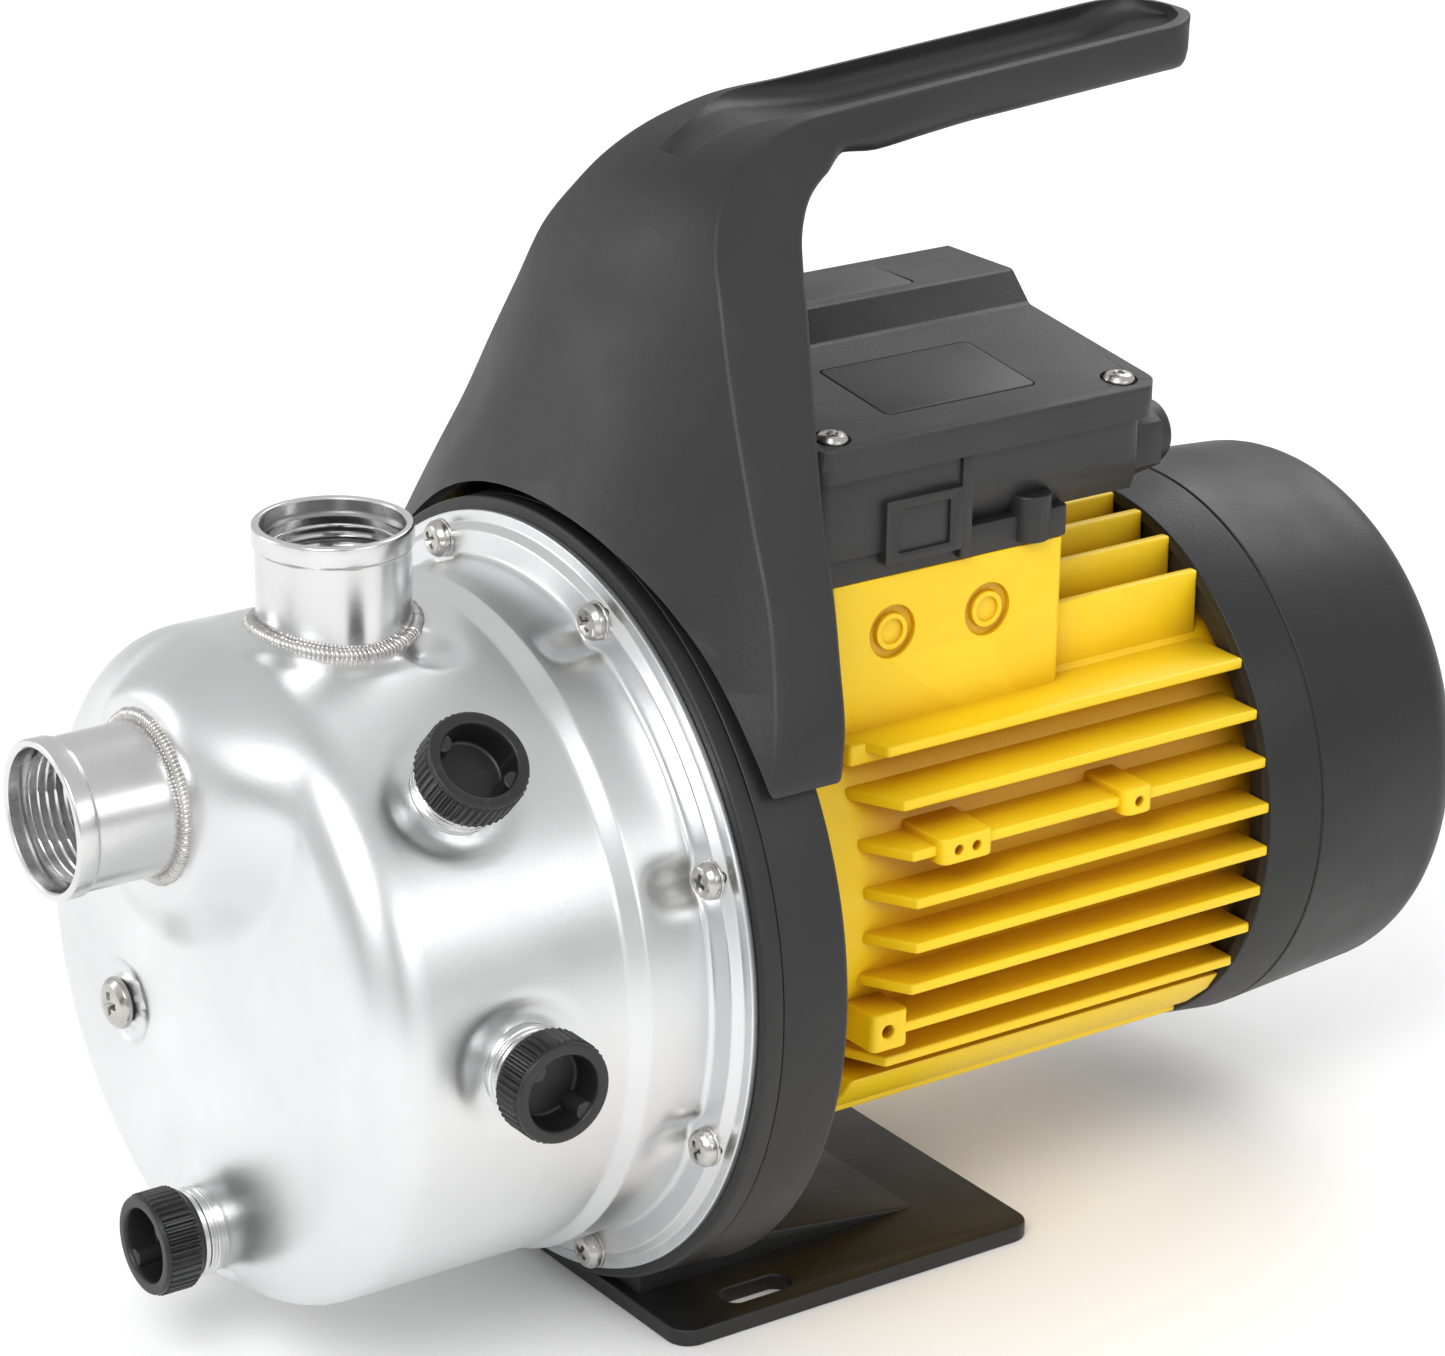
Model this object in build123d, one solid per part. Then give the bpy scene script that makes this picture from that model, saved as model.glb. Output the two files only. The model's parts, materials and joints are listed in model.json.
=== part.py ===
from build123d import *
import math
import os

os.makedirs("parts", exist_ok=True)

# Shallow well jet pump. Millimetres, +Z up, the shaft runs along +Y from the pump to the fan.
# The origin lies on the foot's underside, below the shaft, midway between the two fixing slots.
# Pieces are drawn about the shaft's axis, with y = 0 in the housing flange's plane, and moved when written.

# ---- driving dimensions ----
shaft_height = 100.0

# clearances
fit_gap = 0.05
slip_gap = 0.3
seat_gap = 0.02

# stainless pump housing
housing_radius = 82.4
housing_depth = 94.2
housing_wall = 1.8
front_round = 14.0
shoulder_y = -24.0
shoulder_step = 1.8
land_height = 4.4
land_radius = 92.0
flange_radius = 95.0

# G1 female ports
thread_minor_radius = 15.145
port_radius = 18.3
port_band_radius = 19.0
port_band_length = 5.0
port_counterbore_radius = 16.9
port_counterbore_depth = 3.0
port_spigot = 3.0
suction_height = 49.0
suction_reach = 39.3
suction_boss_seat = 23.5
suction_boss_foot = 38.0
suction_boss_height = 12.3
suction_boss_depth = 10.0
discharge_y = -55.7
discharge_reach = 24.0
weld_radius = 1.9

# screw in the housing's front
front_screw_at = (-37.4, -20.6)
front_screw_radius = 3.0
front_screw_seal_thickness = 1.0

# screwed plugs
neck_radius = 10.4
neck_bore = 8.4
neck_height = 5.2
neck_spigot = 4.0
neck_ridge = 0.5
cap_radius = 12.6
cap_height = 10.2
cap_recess_radius = 9.1
cap_recess_depth = 8.4
cap_shank_length = 8.8
cap_rib_count = 44
cap_rib_height = 0.45
cap_turn = 45.0
gasket_thickness = 1.2
fill_angle = 46.0
fill_y = -59.0
side_angle = 0.0
side_y = -56.0
drain_height = -66.0

# front ring and adapter bracket with foot
ring_radius = 98.0
ring_rear_radius = 99.2
ring_bore = 84.6
front_ring_depth = 5.2
bracket_depth = 23.2
bracket_web = 6.0
foot_half_width = 62.5
foot_front = 2.0
foot_rear = 111.0
foot_thickness = 4.5
foot_corner = 6.0
slot_x = 52.5
slot_y = 31.0
slot_width = 8.0
slot_length = 20.0
pedestal_half_width = 39.0
pedestal_rear = 90.0

# M5 flange screws
flange_screw_count = 8
flange_screw_circle = 89.1
flange_screw_phase = 22.5
m5_radius = 2.5
m5_head_radius = 4.6
m5_head_height = 3.4
m5_washer_radius = 4.8
m5_washer_thickness = 0.9
m5_engagement = 12.0

# shaft and bearings (6202)
shaft_front_y = -27.0
shaft_rear_y = 214.0
shaft_end_radius = 6.0
shaft_seat_radius = 7.5
shaft_core_radius = 9.0
bearing_outer_radius = 17.5
bearing_inner_radius = 7.5
bearing_width = 11.0
bearing_ball_radius = 2.9
bearing_ball_count = 8
bearing_race = 3.2
front_bearing_y = 28.0
rear_bearing_y = 158.0

# hydraulics
impeller_radius = 58.0
impeller_y = -20.0
impeller_width = 12.0
impeller_eye = 15.0
vane_count = 6
diffuser_radius = 78.0
nozzle_radius = 4.0
nozzle_length = 26.0
nozzle_flange_radius = 9.0
ejector_radius = 13.0

# mechanical seal
seal_bore = 17.0
seal_plate_thickness = 2.5

# motor
motor_wall_radius = 60.0
stator_radius = 56.0
stator_bore = 31.0
rotor_gap = 0.4
core_start = 68.0
core_end = 138.0
motor_end = 174.0
fin_radius = 72.5
fin_thickness = 2.8
fin_pitch = 11.6
fin_middle = 1.7
side_fin_count = 8
upright_fin_first = 4.5
upright_fin_pitch = 11.3
upright_fin_count = 4
fin_start = 56.0
pad_half_width = 46.0
pad_top = 82.0
pad_start = 53.7
pad_end = 125.3
lug_circle = 80.0
lug_angle = 40.0

# fan and cover
cover_wall = 2.5
cover_front_radius = 73.0
cover_step_radius = 74.7
cover_step_y = 189.6
cover_rear_radius = 71.0
cover_end = 242.7
cover_round = 20.0
cover_screw_angles = (130.0, 205.0, 280.0)
fan_y = 196.0
fan_radius = 60.0
fan_blades = 8

# terminal box
box_half_width = 47.0
box_front = 48.5
box_rear = 148.5
box_wall = 2.6
box_top = 111.8
box_gasket_thickness = 1.2
lid_half_width = 50.0
lid_front = 46.5
lid_rear = 150.5
lid_edge_top = 118.2
lid_ridge_top = 124.6
plateau_top = 132.0
plateau_near = -10.5
plateau_far = -37.7
lid_screw_x = 43.5
lid_screw_inset = 8.5
lid_screw_radius = 1.55
box_floor = 91.5
wire_opening_half = 8.0
terminal_near = 33.0
terminal_far = 3.0
capacitor_radius = 14.5
capacitor_x = -25.0
gland_at = (28.0, 97.0)
gland_radius = 9.5
gland_bore = 4.2
gland_wall = 2.4

# handle
handle_wall = 3.5
grip_half_width = 16.5
grip_end = 191.5
grip_slope = 0.07
grip_top = 188.4
arch_gap = 2.2
handle_bottom = 51.0
handle_front_radius = 125.0
handle_hollow_top = 168.0
handle_crown_spans = 7
handle_crown_lead = 0.6
channel_wall = 3.2
channel_floor = 185.8
channel_front = 40.0
channel_end_wall = 5.0
channel_height = 16.0

written = []


def save(name, shape):
    """Write one node, moved to the frame whose origin lies under the foot, between its slots."""
    shape = Pos(0, -slot_y, shaft_height) * shape
    shape.label = name
    export_step(shape, f"parts/{name}.step")
    written.append(name)


def polar(radius, angle):
    """A point in the XZ plane, at an angle above +X."""
    return radius * math.cos(math.radians(angle)), radius * math.sin(math.radians(angle))


def disc(radius, y0, y1, x=0.0, z=0.0):
    """A cylinder along Y from y0 to y1."""
    return Pos(x, (y0 + y1) / 2, z) * Rot(90, 0, 0) * Cylinder(radius, y1 - y0)


def tube(outer, inner, y0, y1, x=0.0, z=0.0):
    """A hollow cylinder along Y."""
    return disc(outer, y0, y1, x, z) - disc(inner, y0 - 1, y1 + 1, x, z)


def block(x0, x1, y0, y1, z0, z1):
    """A box by its limits."""
    return Pos((x0 + x1) / 2, (y0 + y1) / 2, (z0 + z1) / 2) * Box(x1 - x0, y1 - y0, z1 - z0)


def outline(points, rounds=()):
    """A plane face through points; rounds pairs a point's number with a radius."""
    face = make_face(Polyline(*points, close=True))
    for number, radius in rounds:
        x, y = points[number]
        corner = min(face.vertices(), key=lambda v: math.hypot(v.X - x, v.Y - y))
        face = fillet(corner, radius)
    return face


def turned(points, rounds=()):
    """A solid turned about the shaft axis from (radius, y) points."""
    return revolve(outline(points, rounds), Axis.Y, 360)


def pipe_up(outer, inner, z0, z1):
    """A hollow cylinder along Z."""
    height = z1 - z0
    body = Pos(0, 0, (z0 + z1) / 2) * Cylinder(outer, height)
    return body - Pos(0, 0, (z0 + z1) / 2) * Cylinder(inner, height + 2)


def pan_screw(head_radius, head_height, radius, length):
    """A cross-recessed pan-head screw, its head above zero and its shank below."""
    head = Pos(0, 0, head_height / 2) * Cylinder(head_radius, head_height)
    head = fillet(head.edges().sort_by(Axis.Z)[-1], head_height * 0.6)
    shank = Pos(0, 0, -length / 2) * Cylinder(radius, length)
    arm = head_radius * 1.05
    slot = Box(arm, radius * 0.42, head_height) + Box(radius * 0.42, arm, head_height)
    return head + shank - Pos(0, 0, head_height * 0.95) * slot


def group(shapes):
    """Several like solids in one node."""
    solids = [solid for shape in shapes for solid in shape.solids()]
    return Compound(children=solids)


def facing_front(x, y, z):
    """The place of a piece made along +Z that now points along -Y."""
    return Location((x, y, z), (90, 0, 0))


def facing_rear(x, y, z):
    """The place of a piece made along +Z that now points along +Y."""
    return Location((x, y, z), (-90, 0, 0))


def facing_out(radius, angle, y):
    """The place of a piece made along +Z that now points away from the shaft."""
    x, z = polar(radius, angle)
    return Location((x, y, z), (0, 90 - angle, 0))


plug_places = {
    "fill": facing_out(housing_radius, fill_angle, fill_y),
    "side": facing_out(housing_radius, side_angle, side_y),
    "drain": facing_front(0, -housing_depth, drain_height),
}
flange_screw_angles = [flange_screw_phase + n * 360 / flange_screw_count for n in range(flange_screw_count)]
flange_screw_points = [polar(flange_screw_circle, angle) for angle in flange_screw_angles]


# ---- pump end ----
def pump_housing():
    """Deep-drawn stainless shell with a stepped flange, port holes and screw holes."""
    inner_front = housing_wall - housing_depth
    wide = housing_radius + shoulder_step
    land_y = -land_height
    shell = turned(
        [
            (0, -housing_depth),
            (housing_radius, -housing_depth),
            (housing_radius, shoulder_y),
            (wide, shoulder_y + shoulder_step),
            (wide, land_y),
            (land_radius, land_y),
            (land_radius + 1.2, -housing_wall),
            (flange_radius, -housing_wall),
            (flange_radius, 0),
            (land_radius - 0.6, 0),
            (land_radius - housing_wall, land_y + housing_wall),
            (wide - housing_wall, land_y + housing_wall),
            (wide - housing_wall, shoulder_y + shoulder_step + 0.6),
            (housing_radius - housing_wall, shoulder_y + 0.6),
            (housing_radius - housing_wall, inner_front),
            (0, inner_front),
        ],
        [(1, front_round), (14, front_round - housing_wall), (4, 0.9), (5, 1.0), (6, 0.6)],
    )
    boss = Pos(0, 0, suction_height) * turned(
        [
            (0, -housing_depth - suction_boss_height),
            (suction_boss_seat, -housing_depth - suction_boss_height),
            (suction_boss_foot, suction_boss_depth - housing_depth),
            (0, suction_boss_depth - housing_depth),
        ],
        [(1, 5.0)],
    )
    boss &= disc(housing_radius - 0.4, -2 * housing_depth, 0)
    boss -= disc(housing_radius - housing_wall, inner_front, 0)
    shell = shell + boss
    shell -= disc(port_radius + seat_gap, -200, -60, z=suction_height)
    shell -= Pos(0, discharge_y, housing_radius) * Cylinder(port_radius + seat_gap, 60)
    for place in plug_places.values():
        shell -= place * Cylinder(neck_radius + seat_gap, 30)
    spot = m5_washer_radius + slip_gap
    for x, z in flange_screw_points:
        shell -= disc(m5_radius + slip_gap, -20, 20, x, z)
        shell -= disc(spot, land_y - 7, land_y, x, z)
    shell -= disc(front_screw_radius + slip_gap, -120, -80, *front_screw_at)
    return shell


def port_socket(length, spigot):
    """A G1 socket along +Z: zero is the wall it is welded to, its mouth at the top."""
    body = pipe_up(port_radius, thread_minor_radius, -spigot, length)
    band = pipe_up(port_band_radius, thread_minor_radius, length - port_band_length, length)
    socket = body + band
    counterbore = Pos(0, 0, length) * Cylinder(port_counterbore_radius, 2 * port_counterbore_depth)
    return socket - counterbore


def suction_port():
    base = -housing_depth - suction_boss_height
    length = suction_reach - suction_boss_height
    return facing_front(0, base, suction_height) * port_socket(length, suction_boss_height + port_spigot)


def discharge_port():
    base = Pos(0, discharge_y, housing_radius)
    return base * port_socket(discharge_reach, port_spigot)


def port_welds():
    """One fillet bead round the base of each port."""
    bead_ring = port_radius + seat_gap + weld_radius * 0.6
    bead = Torus(bead_ring, weld_radius) - Cylinder(port_radius + seat_gap, 20)
    flat_bead = facing_front(0, -housing_depth - suction_boss_height, suction_height) * bead
    flat_bead -= disc(50, -housing_depth - suction_boss_height - seat_gap, 0, z=suction_height)
    saddle = Pos(0, discharge_y, 0) * pipe_up(bead_ring + 1.6, port_radius + seat_gap, 60, housing_radius + 3)
    skin = turned([(housing_radius + seat_gap, -94), (housing_radius + 1.6, -94),
                   (housing_radius + 1.6, -20), (housing_radius + seat_gap, -20)])
    return group([flat_bead, saddle & skin])


def plug_neck():
    """A stainless threaded neck, its base on the housing's skin."""
    neck = pipe_up(neck_radius, neck_bore, -neck_spigot, neck_height)
    for level in (1.6, 3.4):
        neck += pipe_up(neck_radius + neck_ridge, neck_radius - 1, level - 0.45, level + 0.45)
    return neck


def rib_ring(radius, count, height):
    """A face with fine ribs all round."""
    points = []
    for n in range(2 * count):
        reach = radius if n % 2 else radius - height
        for side in (-0.3, 0.3):
            angle = math.radians((n + side) * 180 / count)
            points.append((reach * math.cos(angle), reach * math.sin(angle)))
    return outline(points)


def plug_cap():
    """A ribbed plastic cap with a deep round recess, two nubs in it and a hollow shank."""
    seat = neck_height + gasket_thickness
    top = seat + cap_height
    ribs = rib_ring(cap_radius, cap_rib_count, cap_rib_height)
    body = Pos(0, 0, seat + 1.0) * extrude(ribs, cap_height - 2.2)
    body += Pos(0, 0, seat + 0.5) * Cylinder(cap_radius - cap_rib_height, 1.0)
    body += Pos(0, 0, top - 0.6) * Cylinder(cap_radius - 0.2, 1.2)
    shank_radius = neck_bore - fit_gap
    body += Pos(0, 0, seat - cap_shank_length / 2) * Cylinder(shank_radius, cap_shank_length)
    body -= Pos(0, 0, top) * Cylinder(cap_recess_radius, 2 * cap_recess_depth)
    nub = Pos(0, 0, top - 1.2 - cap_recess_depth / 2) * Cylinder(2.4, cap_recess_depth + 0.2)
    for side in (-1, 1):
        body += Pos(side * (cap_recess_radius + 0.4), 0, 0) * nub & Cylinder(cap_radius - 1.5, 60)
    body -= Pos(0, 0, seat - cap_shank_length) * Cylinder(shank_radius - 2.2, 2 * (cap_shank_length - 1.5))
    return body


def cap_gasket():
    top = neck_height + gasket_thickness
    return pipe_up(neck_radius + slip_gap, neck_bore + slip_gap, neck_height + seat_gap, top - seat_gap)


def plugs():
    save("plug_necks", group([place * plug_neck() for place in plug_places.values()]))
    for name, place in plug_places.items():
        save(f"{name}_cap", place * Rot(0, 0, cap_turn) * plug_cap())
        save(f"{name}_gasket", place * cap_gasket())


def front_screw():
    x, z = front_screw_at
    screw = pan_screw(6.5, 3.2, front_screw_radius, 16.0)
    return facing_front(x, -housing_depth - front_screw_seal_thickness, z) * screw


def front_screw_seal():
    x, z = front_screw_at
    front = -housing_depth - front_screw_seal_thickness
    return tube(5.6, front_screw_radius + fit_gap, front + seat_gap, -housing_depth - seat_gap, x, z)


def flange_fasteners():
    screws = []
    washers = []
    seat = -land_height - m5_washer_thickness
    grip = m5_washer_thickness + land_height + front_ring_depth + m5_engagement
    for x, z in flange_screw_points:
        screw = pan_screw(m5_head_radius, m5_head_height, m5_radius - fit_gap, grip)
        screws.append(facing_front(x, seat, z) * screw)
        washer = tube(m5_washer_radius, m5_radius + fit_gap, seat + seat_gap, -land_height - seat_gap, x, z)
        washers.append(washer)
    save("flange_screws", group(screws))
    save("flange_washers", group(washers))


def front_ring():
    """The ring that backs the housing flange and carries the seal plate."""
    step = -land_height + housing_wall + seat_gap
    ring = turned(
        [
            (ring_bore, step),
            (land_radius - housing_wall - 0.6, step),
            (land_radius - housing_wall - 0.6, seat_gap),
            (ring_radius, seat_gap),
            (ring_radius, front_ring_depth),
            (ring_bore, front_ring_depth),
        ],
        [(3, 0.8)],
    )
    for x, z in flange_screw_points:
        ring -= disc(m5_radius + slip_gap, -20, 20, x, z)
    foot_top = foot_thickness - shaft_height
    return ring - block(-ring_radius, ring_radius, -20, 20, -shaft_height, foot_top + seat_gap)


def seal_plate():
    """Pressed stainless disc that closes the housing and holds the seal's seat."""
    rim = ring_bore - slip_gap
    back = seal_plate_thickness
    plate = turned(
        [
            (seal_bore, 6.0),
            (seal_bore + back, 6.0),
            (seal_bore + back, back),
            (rim, back),
            (rim, 0),
            (seal_bore, 0),
        ],
        [(5, 1.0)],
    )
    return plate


def housing_oring():
    major = housing_radius + shoulder_step - housing_wall - 1.6 - fit_gap
    return Pos(0, -1.6 - fit_gap, 0) * Rot(90, 0, 0) * Torus(major, 1.6)


# ---- bracket with foot ----
def foot_slots():
    """The two slots, along Y, as cutters."""
    cutters = []
    half = (slot_length - slot_width) / 2
    for side in (-1, 1):
        for end in (-half, half):
            cutters.append(Pos(side * slot_x, slot_y + end, -shaft_height) * Cylinder(slot_width / 2, 30))
        cutters.append(Pos(side * slot_x, slot_y, -shaft_height) * Box(slot_width, 2 * half, 30))
    return cutters


def adapter_bracket():
    """Ring, bearing hub, pedestal and foot in one casting."""
    front = front_ring_depth + seat_gap
    hub_end = front_bearing_y + bearing_width
    body = turned(
        [
            (ring_bore, front),
            (ring_radius, front),
            (ring_rear_radius, bracket_depth),
            (bearing_outer_radius + 6, bracket_depth),
            (bearing_outer_radius + 6, hub_end),
            (bearing_outer_radius + fit_gap, hub_end),
            (bearing_outer_radius + fit_gap, front_bearing_y - seat_gap),
            (13.0, front_bearing_y - seat_gap),
            (13.0, bracket_depth - bracket_web),
            (ring_bore, bracket_depth - bracket_web),
        ],
        [(1, 0.8), (2, 1.2)],
    )
    foot_top = foot_thickness - shaft_height
    foot = block(-foot_half_width, foot_half_width, foot_front, foot_rear, -shaft_height, foot_top)
    foot = fillet(foot.edges().filter_by(Axis.Z), foot_corner)
    ramp = outline(
        [
            (front, foot_top - 1),
            (front, foot_top + 8.5),
            (bracket_depth, foot_top + 8.5),
            (pedestal_rear, foot_top),
            (pedestal_rear, foot_top - 1),
        ]
    )
    ramp = extrude(Plane.YZ * ramp, pedestal_half_width, both=True)
    ramp -= disc(ring_bore, -10, 200)
    bracket = body + foot + ramp
    for cutter in foot_slots():
        bracket -= cutter
    for x, z in flange_screw_points:
        bracket -= disc(m5_radius, -20, front_ring_depth + m5_engagement + 0.5, x, z)
    for x, z in lug_points():
        bracket -= disc(m5_radius, bracket_depth - 10, bracket_depth + 5, x, z)
    for x, z in handle_screw_points():
        bracket -= disc(m5_radius, bracket_depth - 9, bracket_depth + 5, x, z)
    return bracket


def lug_points():
    """Where the motor housing's lugs are screwed to the bracket."""
    return [polar(lug_circle, angle) for angle in (lug_angle, 180 - lug_angle, 180 + lug_angle, -lug_angle)]


def handle_screw_points():
    """Where the handle's rear tabs are screwed to the bracket."""
    return [polar(ring_bore + 7, angle) for angle in (62, 118)]


# ---- shaft, seal and hydraulics ----
def shaft():
    neck = front_bearing_y - seat_gap
    rear_seat_end = rear_bearing_y + bearing_width
    return turned(
        [
            (0, shaft_front_y),
            (shaft_end_radius, shaft_front_y),
            (shaft_end_radius, neck - 6),
            (shaft_seat_radius - seat_gap, neck - 6),
            (shaft_seat_radius - seat_gap, front_bearing_y + bearing_width),
            (shaft_core_radius, front_bearing_y + bearing_width),
            (shaft_core_radius, rear_bearing_y),
            (shaft_seat_radius - seat_gap, rear_bearing_y),
            (shaft_seat_radius - seat_gap, rear_seat_end),
            (shaft_end_radius, rear_seat_end),
            (shaft_end_radius, shaft_rear_y),
            (0, shaft_rear_y),
        ],
        [(1, 0.8), (10, 0.8)],
    )


def bearing(name, y):
    """A ball bearing as an outer ring, an inner ring and its set of balls."""
    middle = y + bearing_width / 2
    pitch = (bearing_outer_radius + bearing_inner_radius) / 2
    groove = Pos(0, middle, 0) * Rot(90, 0, 0) * Torus(pitch, bearing_ball_radius + slip_gap / 2)
    outer = tube(bearing_outer_radius, bearing_outer_radius - bearing_race, y, y + bearing_width) - groove
    inner = tube(bearing_inner_radius + bearing_race, bearing_inner_radius, y, y + bearing_width) - groove
    balls = []
    for n in range(bearing_ball_count):
        x, z = polar(pitch, n * 360 / bearing_ball_count)
        balls.append(Pos(x, middle, z) * Sphere(bearing_ball_radius))
    save(f"{name}_bearing_outer", outer)
    save(f"{name}_bearing_inner", inner)
    save(f"{name}_bearing_balls", group(balls))


def impeller():
    """Closed impeller: hub, back disc, eye disc and curved vanes."""
    back = impeller_y + impeller_width
    hub = tube(13.0, shaft_end_radius + fit_gap, impeller_y - 1, back + 2)
    body = hub + tube(impeller_radius, 12.0, back - 2, back)
    body += tube(impeller_radius, impeller_eye + 2.5, impeller_y, impeller_y + 2)
    body += tube(impeller_eye + 2.5, impeller_eye, impeller_y - 4, impeller_y + 2)
    turn = 360 / vane_count
    chord = impeller_radius - impeller_eye
    vane = block(impeller_eye + 2, impeller_radius - 3, impeller_y + 1, back - 1, -1.1, 1.1)
    vane = Pos(0, 0, -chord * 0.2) * Rot(0, -22, 0) * vane
    vane &= tube(impeller_radius - 0.5, impeller_eye + 0.5, impeller_y, back)
    for n in range(vane_count):
        body += Rot(0, n * turn, 0) * vane
    return body


def impeller_nut():
    across = shaft_end_radius * 1.9
    nut = extrude(RegularPolygon(across, 6, major_radius=False), 5.0)
    nut = facing_front(0, impeller_y - 1 - seat_gap, 0) * nut
    return nut - disc(shaft_end_radius + seat_gap, -60, 10)


def diffuser():
    """Plastic guide ring round the impeller, with return vanes behind it."""
    bore = impeller_radius + 1.5
    back = impeller_y + impeller_width
    ring = tube(diffuser_radius, bore, impeller_y - 4, back)
    plate = tube(diffuser_radius, impeller_eye + 4.5, impeller_y - 8, impeller_y - 3)
    body = ring + plate
    for n in range(8):
        cut = block(bore - 1, diffuser_radius + 1, impeller_y - 1, back + 1, -4, 4)
        body -= Rot(0, n * 45, 0) * Pos(0, 0, 12) * cut
    return body


def ejector_body():
    """Venturi tube with its suction chamber and the branch up to the suction port."""
    rear = impeller_y - 8 - seat_gap
    front = 6.0 - housing_depth
    venturi = turned(
        [
            (nozzle_flange_radius + fit_gap, front),
            (ejector_radius + 3, front),
            (ejector_radius + 3, front + 26),
            (ejector_radius, front + 32),
            (ejector_radius, rear - 6),
            (ejector_radius + 9, rear - 6),
            (ejector_radius + 9, rear),
            (10.0, rear),
            (6.0, front + 34),
            (nozzle_flange_radius + fit_gap, front + 24),
        ]
    )
    branch = Pos(0, front + 12, suction_height / 2) * Box(18, 18, suction_height)
    branch += disc(port_radius - 1, front, front + 21, z=suction_height)
    hollow = Pos(0, front + 12, suction_height / 2) * Box(12, 12, suction_height)
    hollow += disc(12.0, front - 1, front + 18, z=suction_height)
    hollow += disc(nozzle_flange_radius + fit_gap, front - 1, front + 24)
    return venturi + branch - hollow


def jet_nozzle():
    front = 6.0 - housing_depth
    return turned(
        [
            (nozzle_radius, front - 2),
            (nozzle_flange_radius, front - 2),
            (nozzle_flange_radius, front + 3.8),
            (7.0, front + 3.8),
            (nozzle_radius + 1.5, front + nozzle_length),
            (nozzle_radius, front + nozzle_length),
        ]
    )


def ejector_oring():
    front = 6.0 - housing_depth
    return Pos(0, front - 1.4, suction_height) * Rot(90, 0, 0) * Torus(port_radius - 3.2, 1.2)


def mechanical_seal():
    seat_face = -1.0
    save("seal_seat", tube(seal_bore - fit_gap, 8.0, seat_face, 5.0))
    rotor = tube(11.0, shaft_end_radius + fit_gap, seat_face - 2.4, seat_face - seat_gap)
    save("seal_rotor", rotor)
    back = impeller_y + impeller_width + 2
    coils = 3
    wire = 0.7
    length = seat_face - 2.4 - back - 2 * wire - 0.2
    path = Helix(pitch=length / coils, height=length, radius=9.0)
    profile = Plane(origin=path @ 0, z_dir=path % 0) * Circle(wire)
    spring = sweep(profile, path)
    save("seal_spring", Location((0, back + wire + 0.1, 0), (-90, 0, 0)) * spring)


def slinger():
    """A lipped rubber collar that throws leaked water off the shaft before the bearing."""
    bore = shaft_end_radius + fit_gap
    return turned([(bore, 10), (14, 10), (11, 12.5), (9.5, 16), (bore, 16)])


# ---- motor ----
def side_fin_levels():
    first = fin_middle - fin_pitch * (side_fin_count - 1) / 2
    return [first + n * fin_pitch for n in range(side_fin_count)]


def motor_housing():
    """Finned aluminium barrel with the terminal pad, mounting lugs and small bosses."""
    bore = stator_radius + fit_gap
    start = bracket_depth + seat_gap
    envelope = disc(fin_radius, fin_start, motor_end - slip_gap)
    body = disc(motor_wall_radius, start, motor_end + 6) + disc(66, start, start + 8)
    fins = []
    half = fin_thickness / 2
    for level in side_fin_levels():
        fins.append(block(-90, 90, fin_start, motor_end, level - half, level + half))
    for n in range(upright_fin_count):
        for side in (-1, 1):
            x = side * (upright_fin_first + n * upright_fin_pitch)
            fins.append(block(x - half, x + half, fin_start, motor_end, -90, -30))
            fins.append(block(x - half, x + half, pad_end - 5, motor_end, 30, 90))
    for fin in fins:
        body += fin & envelope
    lower = block(-pad_half_width - 4, pad_half_width + 4, fin_start, motor_end, -57, -44) & envelope
    body += lower
    body += block(-pad_half_width, pad_half_width, pad_start, pad_end, 20, pad_top)
    boss_level = side_fin_levels()[5]
    for centre, half in ((77.7, 8.0), (131.0, 4.2)):
        body += block(40, fin_radius, centre - half, centre + half, boss_level - 3.2, boss_level + 3.2)
    body += block(40, fin_radius - 6, fin_start - 3, fin_start + 8, -31.5, -22.5)
    for x, z in lug_points():
        lug = disc(8.0, start, start + 9, x, z)
        web = block(0, lug_circle, start, start + 9, -7, 7)
        turn = Rot(0, -math.degrees(math.atan2(z, x)), 0)
        body += lug + turn * web & disc(lug_circle + 9, start, start + 20)
    body -= disc(bore, core_start - 20, motor_end + 10)
    body -= disc(bore - 3, start + 5, core_start)
    body -= disc(bearing_outer_radius + 6 + slip_gap, 0, core_start)
    body -= block(-34, 34, pad_start + 12, pad_end - 14, 30, pad_top + 5)
    for y in (72.8, 101.7):
        for side in (-1, 1):
            place = Location((side * pad_half_width, y, 67.4), (0, 90, 0))
            body -= place * (Cylinder(6.6, 4.4) - Cylinder(4.4, 4.4) + Cylinder(3.2, 3.0))
    for y in (75.0, 80.4, 131.0):
        body -= Pos(fin_radius, y, boss_level) * Rot(0, 90, 0) * Cylinder(1.2, 16)
    body -= Pos(fin_radius - 6, 58.8, -27) * Rot(0, 90, 0) * Cylinder(1.6, 16)
    for x, z in lug_points():
        body -= disc(m5_radius + slip_gap, 0, start + 20, x, z)
    for x, z in box_screw_points():
        body -= Pos(x, z, pad_top) * Cylinder(2.0, 16)
    for x, z in shield_screw_points():
        body -= disc(2.0, motor_end - 6, motor_end + 10, x, z)
    return body


def box_screw_points():
    """(x, y) of the screws that hold the terminal box to the pad."""
    return [(side * 40, y) for side in (-1, 1) for y in (pad_start + 7, pad_end - 8)]


def shield_screw_points():
    return [polar(stator_radius + 2, angle) for angle in (45, 135, 225, 315)]


def motor_screws():
    seat = bracket_depth + seat_gap + 9
    screws = []
    for x, z in lug_points():
        screws.append(facing_rear(x, seat + seat_gap, z) * pan_screw(4.6, 3.4, m5_radius - fit_gap, 18.0))
    return group(screws)


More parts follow.
